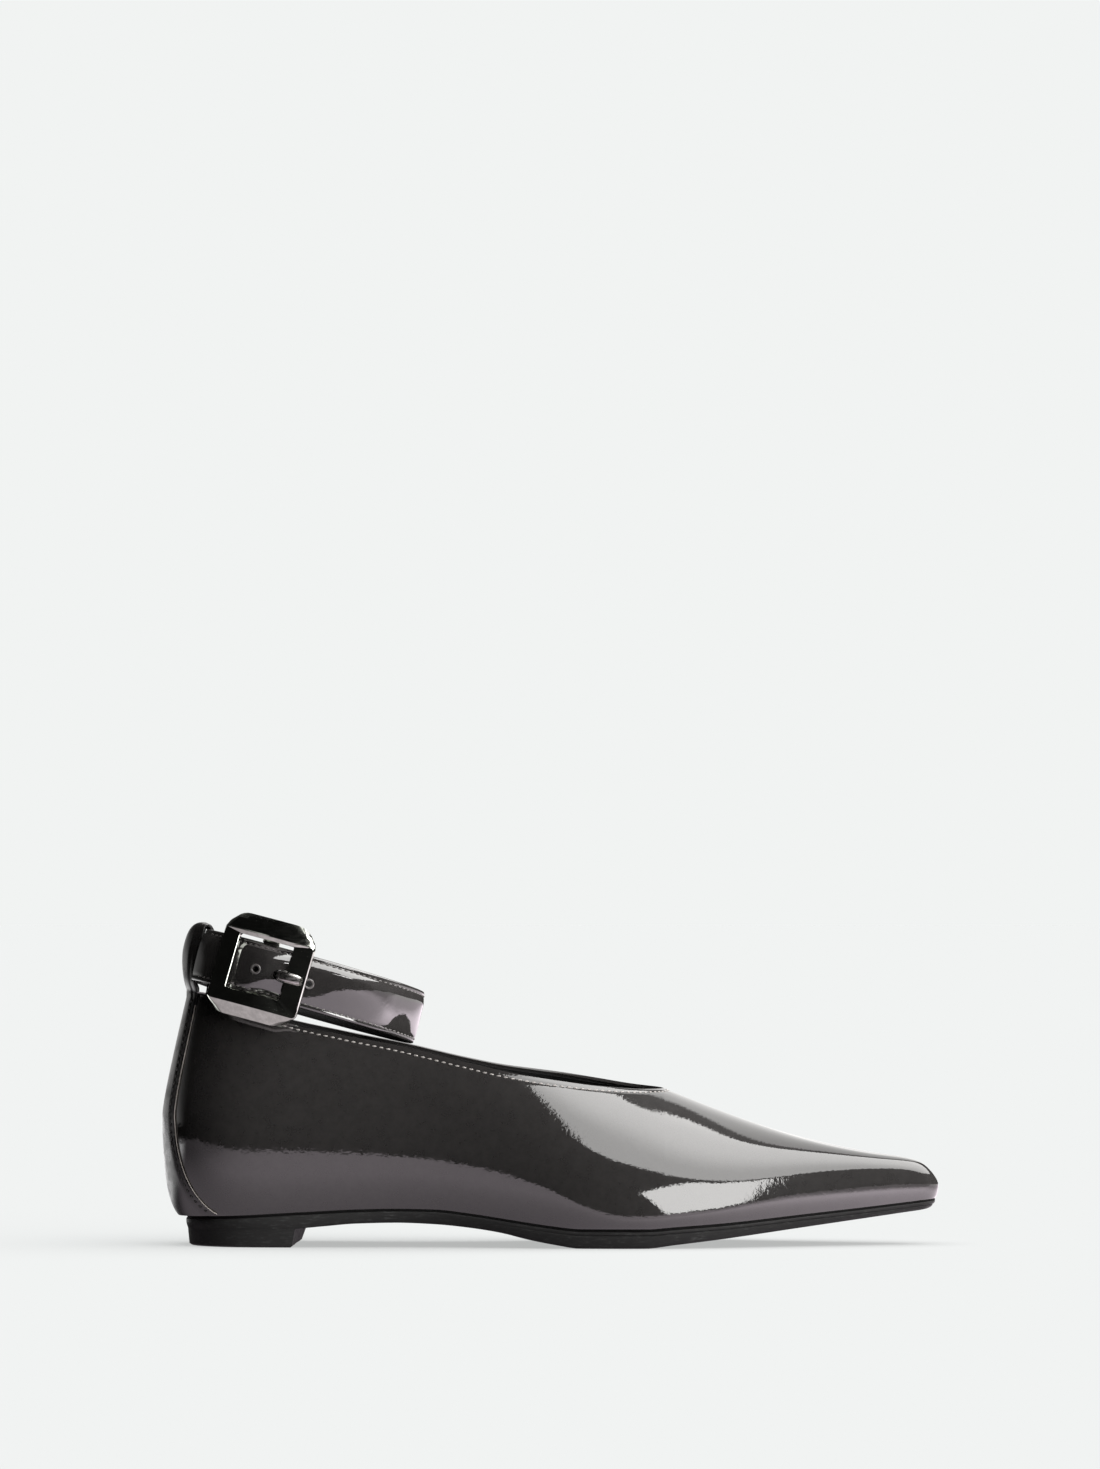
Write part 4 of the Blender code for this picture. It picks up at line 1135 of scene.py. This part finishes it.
buckle = {
    "windowAlong": (-9.3, 9.1), "windowAcross": (-9.0, 10.3), "passageAcross": (-10.9, 10.9),
    "passageOut": (-9.0, 4.3), "passageLong": 60.0, "innerDrop": 0.9, "innerCorner": 0.6, "innerCut": 0.12,
    # out, half along, half across, right and left corner, middle along and across
    "rings": ((-1.2, 14.6, 16.4, 6.6, 5.6, -0.3, 0.1), (0.2, 15.6, 17.6, 7.8, 6.6, -0.3, 0.1),
              (2.2, 16.0, 17.9, 8.2, 7.0, -0.3, 0.1), (4.3, 15.8, 15.85, 5.2, 4.8, 0.0, -0.05),
              (5.5, 15.5, 14.25, 2.9, 2.9, 0.3, -0.55), (6.2, 15.1, 13.0, 1.6, 1.6, 0.5, -1.1),
              (6.6, 14.8, 12.6, 1.3, 1.3, 0.5, -1.1)),
    "barLong": 1.3, "barDeep": 0.75, "barPast": (1.6, 1.2), "barFlare": 1.5, "flareFrom": 2.2,
    "flareOver": 1.6, "eyeGap": 0.3, "eyeWall": 0.8, "eyeSlot": 2.3, "eyeInside": 0.1, "edge": 0.16,
    "prongLip": (0.12, 0.2), "eyeLip": (0.1, 0.25),
    "prongAlong": (2.0, 3.9, 5.5, 6.5, 7.2, 8.4, 10.6, 13.8),
    "prongOut": (0.5, 0.5, 1.1, 3.0, 5.5, 7.6, 8.2, 7.9),
    "prongHalf": 1.7, "prongThick": 1.9, "prongSquare": 0.6, "prongEnd": 0.78, "prongGrow": 0.12,
}


def circleTurns(count):
    return np.linspace(0, 2 * math.pi, count + 1)[:-1]


def roundedRing(centre, halfAlong, halfAcross, radii, out, cornerSteps=8, sideSteps=8):
    # radii: of the corners on the right and on the left
    signs = ((1, 1), (-1, 1), (-1, -1), (1, -1))

    def spot(corner, turns):
        right, up = signs[corner % 4]
        radius = radii[0 if right > 0 else 1]
        angle = turns * math.pi / 2
        return np.array((right * (halfAlong - radius) + radius * math.cos(angle),
                         up * (halfAcross - radius) + radius * math.sin(angle)))

    ring = []
    for corner in range(4):
        ring += [spot(corner, corner + k / cornerSteps) for k in range(cornerSteps + 1)]
        begin, end = ring[-1], spot(corner + 1, corner + 1)
        ring += [begin + (end - begin) * (k / sideSteps) for k in range(1, sideSteps)]
    return [(x + centre[0], y + centre[1], out) for x, y in ring]


def buildFrame():
    low, high = buckle["windowAlong"]
    floor, roof = buckle["windowAcross"]
    inner = ((low + high) / 2, (floor + roof) / 2)
    halfIn = ((high - low) / 2, (roof - floor) / 2)
    rings = [roundedRing((middle, level), along, across, (right, left), out)
             for out, along, across, right, left, middle, level in buckle["rings"]]
    lip, cut = buckle["rings"][-1][0] - buckle["innerDrop"], buckle["innerCut"]
    for out, grow in ((lip, cut), (lip - cut, 0.0), (buckle["rings"][0][0], 0.0)):
        corner = buckle["innerCorner"] + grow
        rings.append(roundedRing(inner, halfIn[0] + grow, halfIn[1] + grow, (corner, corner), out))
    rings.append(rings[0])
    obj = extrudeRings("buckle_frame_plated", rings, closeEnds=False)
    passage = started("passage", bpy.ops.mesh.primitive_cube_add, size=1.0)
    for vertex in passage.data.vertices:
        across = buckle["passageAcross"][0 if vertex.co.y < 0 else 1]
        out = buckle["passageOut"][0 if vertex.co.z < 0 else 1]
        vertex.co = Vector((vertex.co.x * buckle["passageLong"], across, out))
    cutAway(obj, passage)
    barRings = []
    below, above = buckle["barPast"]
    for across in np.linspace(floor - below, roof + above, 25):
        share = float(easeStep((across - roof + buckle["flareFrom"]) / buckle["flareOver"]))
        long = buckle["barLong"] * (1 + buckle["barFlare"] * share)
        barRings.append([(long * math.cos(a), across, buckle["barDeep"] * math.sin(a))
                         for a in circleTurns(24)])
    bar = extrudeRings("bar", barRings)
    rounded(obj, buckle["edge"], 2, 14)
    flatObject(joined(obj, bar))
    dressed(smoothed(obj, 30), blackNickel)
    placed(obj, "buckle_frame", "buckle_frame")
    print("buckle", len(obj.data.polygons), "faces")


buildFrame()


def sleeve(name, low, high, lip, slope):
    # a short tube round the bar, with rounded outer edges
    inside, wall = buckle["eyeInside"], buckle["eyeWall"]
    outline = []
    for grow, across in ((lip, low), (wall, low + slope), (wall, high - slope), (lip, high),
                         (0.0, high - inside), (0.0, low + inside), (lip, low)):
        long, deep = (buckle[key] + buckle["eyeGap"] + grow for key in ("barLong", "barDeep"))
        outline.append([(long * math.cos(a), across, deep * math.sin(a)) for a in circleTurns(28)])
    return extrudeRings(name, outline, closeEnds=False)


def buildProng():
    # a flattened rod from the bar, up through the hole and over the front bar
    turns = np.linspace(0.0, len(buckle["prongAlong"]) - 1.0, 44)
    along, out = naturalCurve(buckle["prongAlong"])(turns), naturalCurve(buckle["prongOut"])(turns)
    run = unit(np.stack((np.gradient(along), np.gradient(out)), -1))
    around = circleTurns(20)

    def squared(t):
        return np.sign(t) * np.abs(t) ** buckle["prongSquare"]

    rings = []
    for i in range(len(turns)):
        fromEnd = min(i, len(turns) - 1 - i)
        swell = min(1.0, buckle["prongEnd"] + buckle["prongGrow"] * fromEnd)
        wide = buckle["prongHalf"] * swell * squared(np.cos(around))
        deep = buckle["prongThick"] / 2 * swell * squared(np.sin(around))
        rings.append([(along[i] - run[i, 1] * d, w + strap["holeAcross"], out[i] + run[i, 0] * d)
                      for w, d in zip(wide, deep)])
    obj = extrudeRings("prong_plated", rings)
    middle, half = strap["holeAcross"], buckle["prongHalf"]
    flatObject(joined(obj, sleeve("prong_eye", middle - half, middle + half, *buckle["prongLip"])))
    dressed(smoothed(obj, 40), prongNickel)
    placed(obj, "buckle_prong", "buckle_prong")


buildProng()


def buildEye():
    # the strap's end turned round the bar, in two tongues beside the prong
    slot, half = strap["holeAcross"], strap["width"] / 2
    sides = ((-half, slot - buckle["eyeSlot"]), (slot + buckle["eyeSlot"], half))
    joined(*[sleeve("strap_eye", low, high, *buckle["eyeLip"]) for low, high in sides])
    eye = flatObject(named("strap_eye"))
    dressed(smoothed(eye, 40), strapPatent)
    placed(eye, "ankle_strap")


buildEye()


sole = {
    "gap": 0.3, "margin": 0.8, "bevelMin": 0.5, "bevelMax": 2.2, "bevelStart": 55.0,
    "bevelEnd": 110.0, "stations": 170, "acrossTop": 7, "acrossUnder": 13,
    "grooveDown": 1.35, "grooveDeep": 0.34, "grooveHalf": 0.2, "grooveStart": 105.0,
    "grooveEnd": 165.0, "topRound": 0.35, "topReach": 0.35, "swell": 0.28,
    "footRound": 0.5, "footReach": 0.6, "footFrom": 44.0, "footOver": 12.0, "treadFace": -0.8,
    # rows of the edge: first millimetres down from the top, then shares of the whole height
    "downs": (0.0, 0.1, 0.35, 0.8, 1.1, 1.25, 1.35, 1.45, 1.6, 2.0), "downStep": 0.02,
    "shares": (0.6, 0.75, 0.88, 0.95, 0.985, 1.0),
}


def soleStations():
    k = np.linspace(0.0, math.pi, sole["stations"] + 1)
    return (1 - np.cos(k)) / 2


def underGrow(x):
    share = easeStep((x - sole["bevelStart"]) / (sole["bevelEnd"] - sole["bevelStart"]))
    return sole["margin"] - sole["bevelMin"] - (sole["bevelMax"] - sole["bevelMin"]) * share


def edgeProfile(q):
    # points down the sole edge at each place, as (x, y, z) rows
    x = lastCurve["footX"](q)
    top = soleTop(x) - sole["gap"]
    deep = top - soleUnder(x)
    grooved = easeStep((x - sole["grooveStart"]) / (sole["grooveEnd"] - sole["grooveStart"]))
    footed = easeStep((x - sole["footFrom"]) / sole["footOver"])
    depths = [np.minimum(down, deep) for down in sole["downs"]]
    for k, share in enumerate(sole["shares"]):
        least = sole["downs"][-1] + sole["downStep"] * k
        depths.append(np.minimum(np.maximum(deep * share, least), deep))
    rows = []
    for depth in depths:
        t = depth / deep
        dent = np.exp(-((depth - sole["grooveDown"]) / sole["grooveHalf"]) ** 2)
        grow = sole["margin"] + (underGrow(x) - sole["margin"]) * t + sole["swell"] * np.sin(np.pi * t)
        grow = grow - sole["grooveDeep"] * grooved * dent
        grow = grow - sole["topRound"] * np.clip(1 - depth / sole["topReach"], 0, 1) ** 2
        foot = np.clip(1 - (deep - depth) / sole["footReach"], 0, 1) ** 2
        grow = grow - sole["footRound"] * footed * foot
        rows.append(withHeight(edgePoint(q, grow), top - depth))
    return np.array(rows)


def bridged(first, second, count):
    # rows laid evenly between two rows
    return [first * (1 - t) + second * t for t in np.linspace(0.0, 1.0, count)[1:-1]]


def solePoints():
    s = soleStations()
    outer, inner = edgeProfile(-s), edgeProfile(s)
    loop = [inner[0], *bridged(inner[0], outer[0], sole["acrossTop"]), *outer,
            *bridged(outer[-1], inner[-1], sole["acrossUnder"]), *inner[::-1]]
    return np.array(loop).transpose(1, 0, 2)


outsole = layGrid("sole_moulded", solePoints())
weld(outsole, 2e-6, True)
dressed(outsole, soleRubber, treadRubber)
outsole.data.update()
for polygon in outsole.data.polygons:
    polygon.material_index = 1 if polygon.normal.z < sole["treadFace"] else 0
smoothed(outsole, 45)
placed(outsole, "outsole", "outsole")
print("sole", len(outsole.data.polygons), "faces")

heel = {
    "breastOuter": 47.0, "breastInner": 50.4, "undercut": 2.4, "taper": 0.6, "chamfer": 0.8,
    "steps": 60, "levels": 12, "across": 14, "breastRough": 0.1, "sideShort": 2.0,
    "chamferHigh": 0.1, "topGap": 0.02,
}


def heelPoints():
    # rows round the outer edge, level by level, then closed over the breast
    rng = np.random.default_rng(7)
    fine = np.linspace(0.0, 0.4, 800)
    reach = float(np.interp(heel["breastOuter"] - heel["sideShort"], lastCurve["footX"](fine), fine))
    s = reach * np.linspace(0.0, 1.0, heel["steps"] + 1)
    q = np.concatenate((-s[::-1], s[1:]))
    rings = []
    for k in range(heel["levels"] + 1):
        t = k / heel["levels"]
        foot = heel["chamfer"] * max(0.0, 1 - t / heel["chamferHigh"]) ** 2
        grow = sole["margin"] - sole["bevelMin"] - heel["taper"] * (1 - t) - foot
        ring = edgePoint(q, np.full(len(q), grow))
        back = heel["undercut"] * (1 - t) + foot
        first = np.array((heel["breastOuter"] - back / 2, ring[0, 1]))
        final = np.array((heel["breastInner"] - back, ring[-1, 1]))
        face = np.linspace(0.0, 1.0, heel["across"] + 1)[:, None]
        breast = final * (1 - face) + first * face
        breast[1:-1, 0] += rng.normal(0.0, heel["breastRough"], heel["across"] - 1)
        whole = np.concatenate((ring, breast, ring[:1]))
        z = t * (soleUnder(whole[:, 0]) - heel["topGap"])
        rings.append(withHeight(whole, z))
    return np.array(rings)


heelBlock = layGrid("heel_block_rubber", heelPoints())
closeEnds(heelBlock, 2e-6)
dressed(smoothed(heelBlock, 35), heelRubber)
placed(heelBlock, "heel_block", "heel_block")
print("heel block", len(heelBlock.data.polygons), "faces")

sock = {
    "inset": 2.6, "thick": 2.0, "across": 15, "acrossUnder": 7,
    # rows of the edge: share of the height, and how far out
    "edges": ((0.0, 0.0), (0.25, 0.0), (0.75, 0.0), (0.93, -0.12), (1.0, -0.4)),
}


def sockPoints():
    s = soleStations()
    outer, inner = [], []
    for lift, grow in sock["edges"]:
        for side, q in ((outer, -s), (inner, s)):
            spot = edgePoint(q, np.full(len(s), grow - sock["inset"]))
            z = soleTop(spot[:, 0]) + sole["gap"] + lift * sock["thick"]
            side.append(withHeight(spot, z))
    loop = [*outer, *bridged(outer[-1], inner[-1], sock["across"]), *inner[::-1],
            *bridged(inner[0], outer[0], sock["acrossUnder"]), outer[0]]
    return np.array(loop).transpose(1, 0, 2)


insole = layGrid("sock_leather", sockPoints())
weld(insole, 2e-6, True)
dressed(smoothed(insole, 45), sockCalf)
placed(insole, "insole", "insole")
print("sock", len(insole.data.polygons), "faces")


feather = {"radius": 0.42, "in": 0.12, "rough": 0.10, "sides": 8, "steps": 420}


def featherPoints():
    # the cemented line where the upper turns under on to the sole; its near-black bead also paints the
    # shadow in the gap there
    rng = np.random.default_rng(11)
    q = np.linspace(-1.0, 1.0, feather["steps"] + 1)
    spot = edgePoint(q, np.full(len(q), feather["in"]))
    step = 1e-4
    run = edgePoint(q + step, np.zeros(len(q))) - edgePoint(q - step, np.zeros(len(q)))
    out = unit(np.stack((-run[:, 1], run[:, 0]), -1))
    z = soleTop(spot[:, 0])
    swell = feather["radius"] + feather["rough"] * np.convolve(
        rng.normal(0.0, 1.0, len(q) + 2), (0.25, 0.5, 0.25), "valid")
    swell[-1] = swell[0]
    rows = []
    for a in np.linspace(0.0, 2 * math.pi, feather["sides"] + 1):
        shift = out * (swell * math.cos(a))[:, None]
        rows.append(withHeight(spot + shift, z + swell * math.sin(a)))
    return np.array(rows)


featherLine = layGrid("feather_line", featherPoints())
weld(featherLine, 2e-6, True)
dressed(smoothed(featherLine), featherCementAndShade)
placed(featherLine, "outsole")


studio = {
    "paper": (0.8796, 0.8963, 0.8879), "floorGlow": 0.526, "floorDiffuse": (0.12, 0.12, 0.12),
    "topLight": 7.98, "topColour": (0.9734, 1.0, 0.9983), "topSpread": 80.0,
    "sensor": 36.0, "cameraAway": 3.6, "cameraHeight": 0.1771, "pixel": 0.0003475, "photoLong": 1469,
}
# what the shoe reflects and is lit by; each edge is a flat side through the middle of the room,
# each pair is where a light starts and where it is full
room = {
    "colour": (1.0, 0.99, 0.975, 1.0), "dark": 0.004, "fill": 0.012, "edgeSoft": 0.004,
    "key": (0.87, -0.28, 0.40), "keyLevel": 4.2, "keyFrom": (0.36, 1.0),
    "softboxEdges": ((0.1, 0.505, 1.0), (-0.5, 0.0, 1.0), (0.0, -1.0, 0.9)),
    "softboxFront": (1.0, -0.084, -0.318), "frontBend": (-0.10, 0.2), "bendBy": (0.075, 0.04),
    "softboxLean": 0.6, "softboxLevel": (0.75, 1.15, 2.9, 4.45),
    "panelEdges": ((0.5, -0.085, -1.0), (1.0, 0.36, 1.0), (-1.0, -0.84, 0.0), (0.0, -0.385, -1.0)),
    "panelLevel": 5.6,
    "sweepBack": (0.0, 1.0, 0.2), "sweepFrom": 0.42, "sweepSoft": 0.06, "sweepLevel": 1.3,
    "sweepSide": (-1.0, 0.12, 0.32), "sweepSideSoft": 0.01, "sweepFade": (-0.12, 0.06, 0.015, 1.0),
    "frontLevel": 0.02, "frontLeft": (-0.62, 0.25), "rightLevel": 0.05, "frontRight": (0.1, 0.75),
    "frontLow": (-0.12, 0.02, 0.8, 1.0), "frontHigh": (0.72, 0.45), "frontBack": (0.0, -0.3),
    "highLevel": 0.16, "highRight": (0.1, 0.3), "highUp": (0.5, 0.7),
    "heelLevel": 0.6, "heelBack": (0.1, 0.6), "heelLeft": (0.0, -0.2), "heelLow": (0.3, 0.0),
}


def buildWorld():
    world = bpy.data.worlds.new("studio")
    bpy.context.scene.world = world
    world.use_nodes = True
    world.cycles.sampling_method = "MANUAL"
    world.cycles.sample_map_resolution = 512
    look = Look(world.node_tree)
    look.tree.nodes.clear()
    ray = look.node("TexCoord", {}, {}, "Generated")
    x, y, z = look.parts(ray)

    def along(direction):
        return look.node("VectorMath", {"operation": "DOT_PRODUCT"}, {0: ray, 1: direction}, "Value")

    def inside(value, soft=room["edgeSoft"]):
        return look.step(value, -soft, soft)

    def fade(value, name):
        return look.step(value, *room[name])

    # softbox overhead on the right, a card low on the right, the white sweep behind
    start, more = room["bendBy"]
    softbox = inside(along(room["softboxFront"]) - fade(y, "frontBend") * (start + more * y))
    for edge in room["softboxEdges"]:
        softbox = softbox * inside(along(edge))
    panel = 1 - softbox
    for edge in room["panelEdges"]:
        panel = panel * inside(along(edge))
    sweep = inside(along(room["sweepBack"]) - room["sweepFrom"], room["sweepSoft"])
    sweep = sweep * inside(along(room["sweepSide"]), room["sweepSideSoft"]) * fade(x, "sweepFade")
    # the room in front: black on the left, a little light towards the right and high up
    front = room["frontLevel"] * fade(x, "frontLeft") + room["rightLevel"] * fade(x, "frontRight")
    front = front * fade(z, "frontLow") * fade(z, "frontHigh") * fade(y, "frontBack")
    front = front + room["highLevel"] * fade(x, "highRight") * fade(z, "highUp")
    heelLight = room["heelLevel"] * fade(y, "heelBack") * fade(x, "heelLeft") * fade(z, "heelLow")
    mirrored = room["dark"] + front + heelLight + sweep * room["sweepLevel"] + panel * room["panelLevel"]
    mirrored = mirrored + softbox * fade(z + room["softboxLean"] * x, "softboxLevel")
    soft = room["fill"] + room["keyLevel"] * fade(along(room["key"]), "keyFrom")
    glossy = look.node("LightPath", {}, {}, "Is Glossy Ray")
    strength = soft + glossy * (mirrored - soft)
    glow = look.node("Background", {}, {"Color": room["colour"], "Strength": strength})
    paper = look.node("Background", {}, {"Color": (*studio["paper"], 1.0), "Strength": 1.0})
    seen = look.node("LightPath", {}, {}, "Is Camera Ray")
    mixed = look.node("MixShader", {}, {0: seen, 1: glow, 2: paper})
    look.node("OutputWorld", {}, {"Surface": mixed})


def flatSheet(name, low, high, z):
    sheet = started(name, bpy.ops.mesh.primitive_plane_add, size=2.0)
    for vertex in sheet.data.vertices:
        vertex.co.x = low[0] if vertex.co.x < 0 else high[0]
        vertex.co.y = low[1] if vertex.co.y < 0 else high[1]
        vertex.co.z = z
    return sheet


def buildFloor():
    floor = flatSheet("floor", (-6.0, -6.0), (6.0, 6.0), 0.0)
    white = Finish("floor paper", {
        "Base Color": (*studio["floorDiffuse"], 1.0), "Roughness": 1.0,
        "Specular IOR Level": 0.0, "Emission Strength": 1.0,
        "Emission Color": (*(c * studio["floorGlow"] for c in studio["paper"]), 1.0)})
    dressed(floor, white)
    floor.visible_glossy = False
    floor.visible_diffuse = False


# sheets seen in reflections only; each pair or four is from, to and the levels there
sheets = {
    "low": (-1.2, -0.6), "high": (1.5, 1.2), "under": -0.001,
    "front": 0.36, "left": 0.72, "turn": 0.1, "edge": (0.97, 1.03),
    "middle": (-0.02, 0.09, 0.0, 0.85), "toe": (0.06, 0.22, 0.0, 2.0), "heel": (-0.45, -0.05, 0.26, 0.8),
    "nearShoe": (-0.17, -0.06, 0.12, 1.0), "shoeShadowDim": (-0.16, -0.03, 1.0, 0.68),
    "pastToe": (0.17, 0.33, 1.0, 0.42),
    "behindFrom": (-0.129, -0.018), "behindSlope": 0.33, "behind": (0.0, 0.03),
    "behindHeel": (-0.05, -0.12), "behindShadow": 0.9,
    "rim": 1.7, "rimBack": (0.015, 0.12), "rimHeel": (-0.1, -0.2), "rimEnd": (-0.62, -0.5),
    "green": (0.3, 0.6, 0.885, 0.96), "blue": 0.965,
    "flagLow": (-0.09, 0.0835), "flagHigh": (-0.012, 0.1035), "flagFront": -0.062,
}


def buildTable():
    # violet light under the shoe, with a rounded front corner on the left; dimmer close to the shoe and
    # darker behind the heel, a painted shadow of the shoe
    shine = Finish("table shine", {"Base Color": (0.0, 0.0, 0.0, 1.0), "Specular IOR Level": 0.0,
                                   "Emission Strength": 1.0})
    x, y, _ = shine.parts(shine.place())

    def fade(value, name):
        return shine.step(value, *sheets[name])

    left = shine.node("Math", {"operation": "MINIMUM"}, {0: x - sheets["turn"], 1: 0.0})
    front = shine.node("Math", {"operation": "MINIMUM"}, {0: y, 1: 0.0})
    reach = (left / sheets["left"]) ** 2 + (front / sheets["front"]) ** 2
    level = (fade(x, "middle") + fade(x, "toe")) * fade(y, "nearShoe") + fade(x, "heel")
    backX, backY = sheets["behindFrom"]
    behind = fade(y - backY + sheets["behindSlope"] * (x - backX), "behind") * fade(x, "behindHeel")
    # painted shadow of the shoe on the reflected floor: darker behind the heel and dimmer near the shoe
    level = level * (1 - fade(reach, "edge")) * (1 - sheets["behindShadow"] * behind)
    level = level * fade(y, "shoeShadowDim") * fade(x, "pastToe")
    rim = sheets["rim"] * fade(y, "rimBack") * fade(x, "rimHeel") * fade(x, "rimEnd")
    shine.feed("Emission Color", shine.node("CombineXYZ", {}, {
        0: level + rim, 1: level * fade(x, "green") + rim, 2: level * sheets["blue"] + rim}))
    return dressed(flatSheet("light_table", sheets["low"], sheets["high"], sheets["under"]), shine)


def buildFlag():
    # black card standing in front of the strap
    flag = flatSheet("black_flag", sheets["flagLow"], sheets["flagHigh"], 0.0)
    for vertex in flag.data.vertices:
        vertex.co = Vector((vertex.co.x, sheets["flagFront"], vertex.co.y))
    cloth = Finish("flag cloth", {"Base Color": (0.0, 0.0, 0.0, 1.0), "Specular IOR Level": 0.0})
    return dressed(flag, cloth)


def buildSheets():
    for sheet in (buildTable(), buildFlag()):
        sheet.visible_camera = False
        sheet.visible_diffuse = False
        sheet.visible_shadow = False


def buildTopLight():
    # soft light from above that reaches the floor only
    bpy.ops.object.light_add(type="SUN", location=(0.0, 0.0, 2.0))
    sun = bpy.context.object
    sun.name = "top_light"
    sun.data.energy = studio["topLight"]
    sun.data.color = studio["topColour"]
    sun.data.angle = math.radians(studio["topSpread"])
    sun.visible_glossy = False
    lit = bpy.data.collections.new("lit_by_top_light")
    lit.objects.link(bpy.data.objects["floor"])
    sun.light_linking.receiver_collection = lit


def buildCamera():
    away = studio["cameraAway"]
    bpy.ops.object.camera_add(location=(0.0, -away, studio["cameraHeight"]),
                              rotation=(math.radians(90), 0.0, 0.0))
    camera = bpy.context.object
    camera.data.sensor_width = studio["sensor"]
    camera.data.sensor_fit = "AUTO"
    camera.data.lens = studio["sensor"] * away / (studio["photoLong"] * studio["pixel"])
    camera.data.clip_end = 100.0
    bpy.context.scene.camera = camera


buildWorld()
buildFloor()
buildSheets()
buildTopLight()
buildCamera()
bpy.context.scene.view_settings.view_transform = "Standard"
print("studio ready")

bpy.context.view_layer.update()
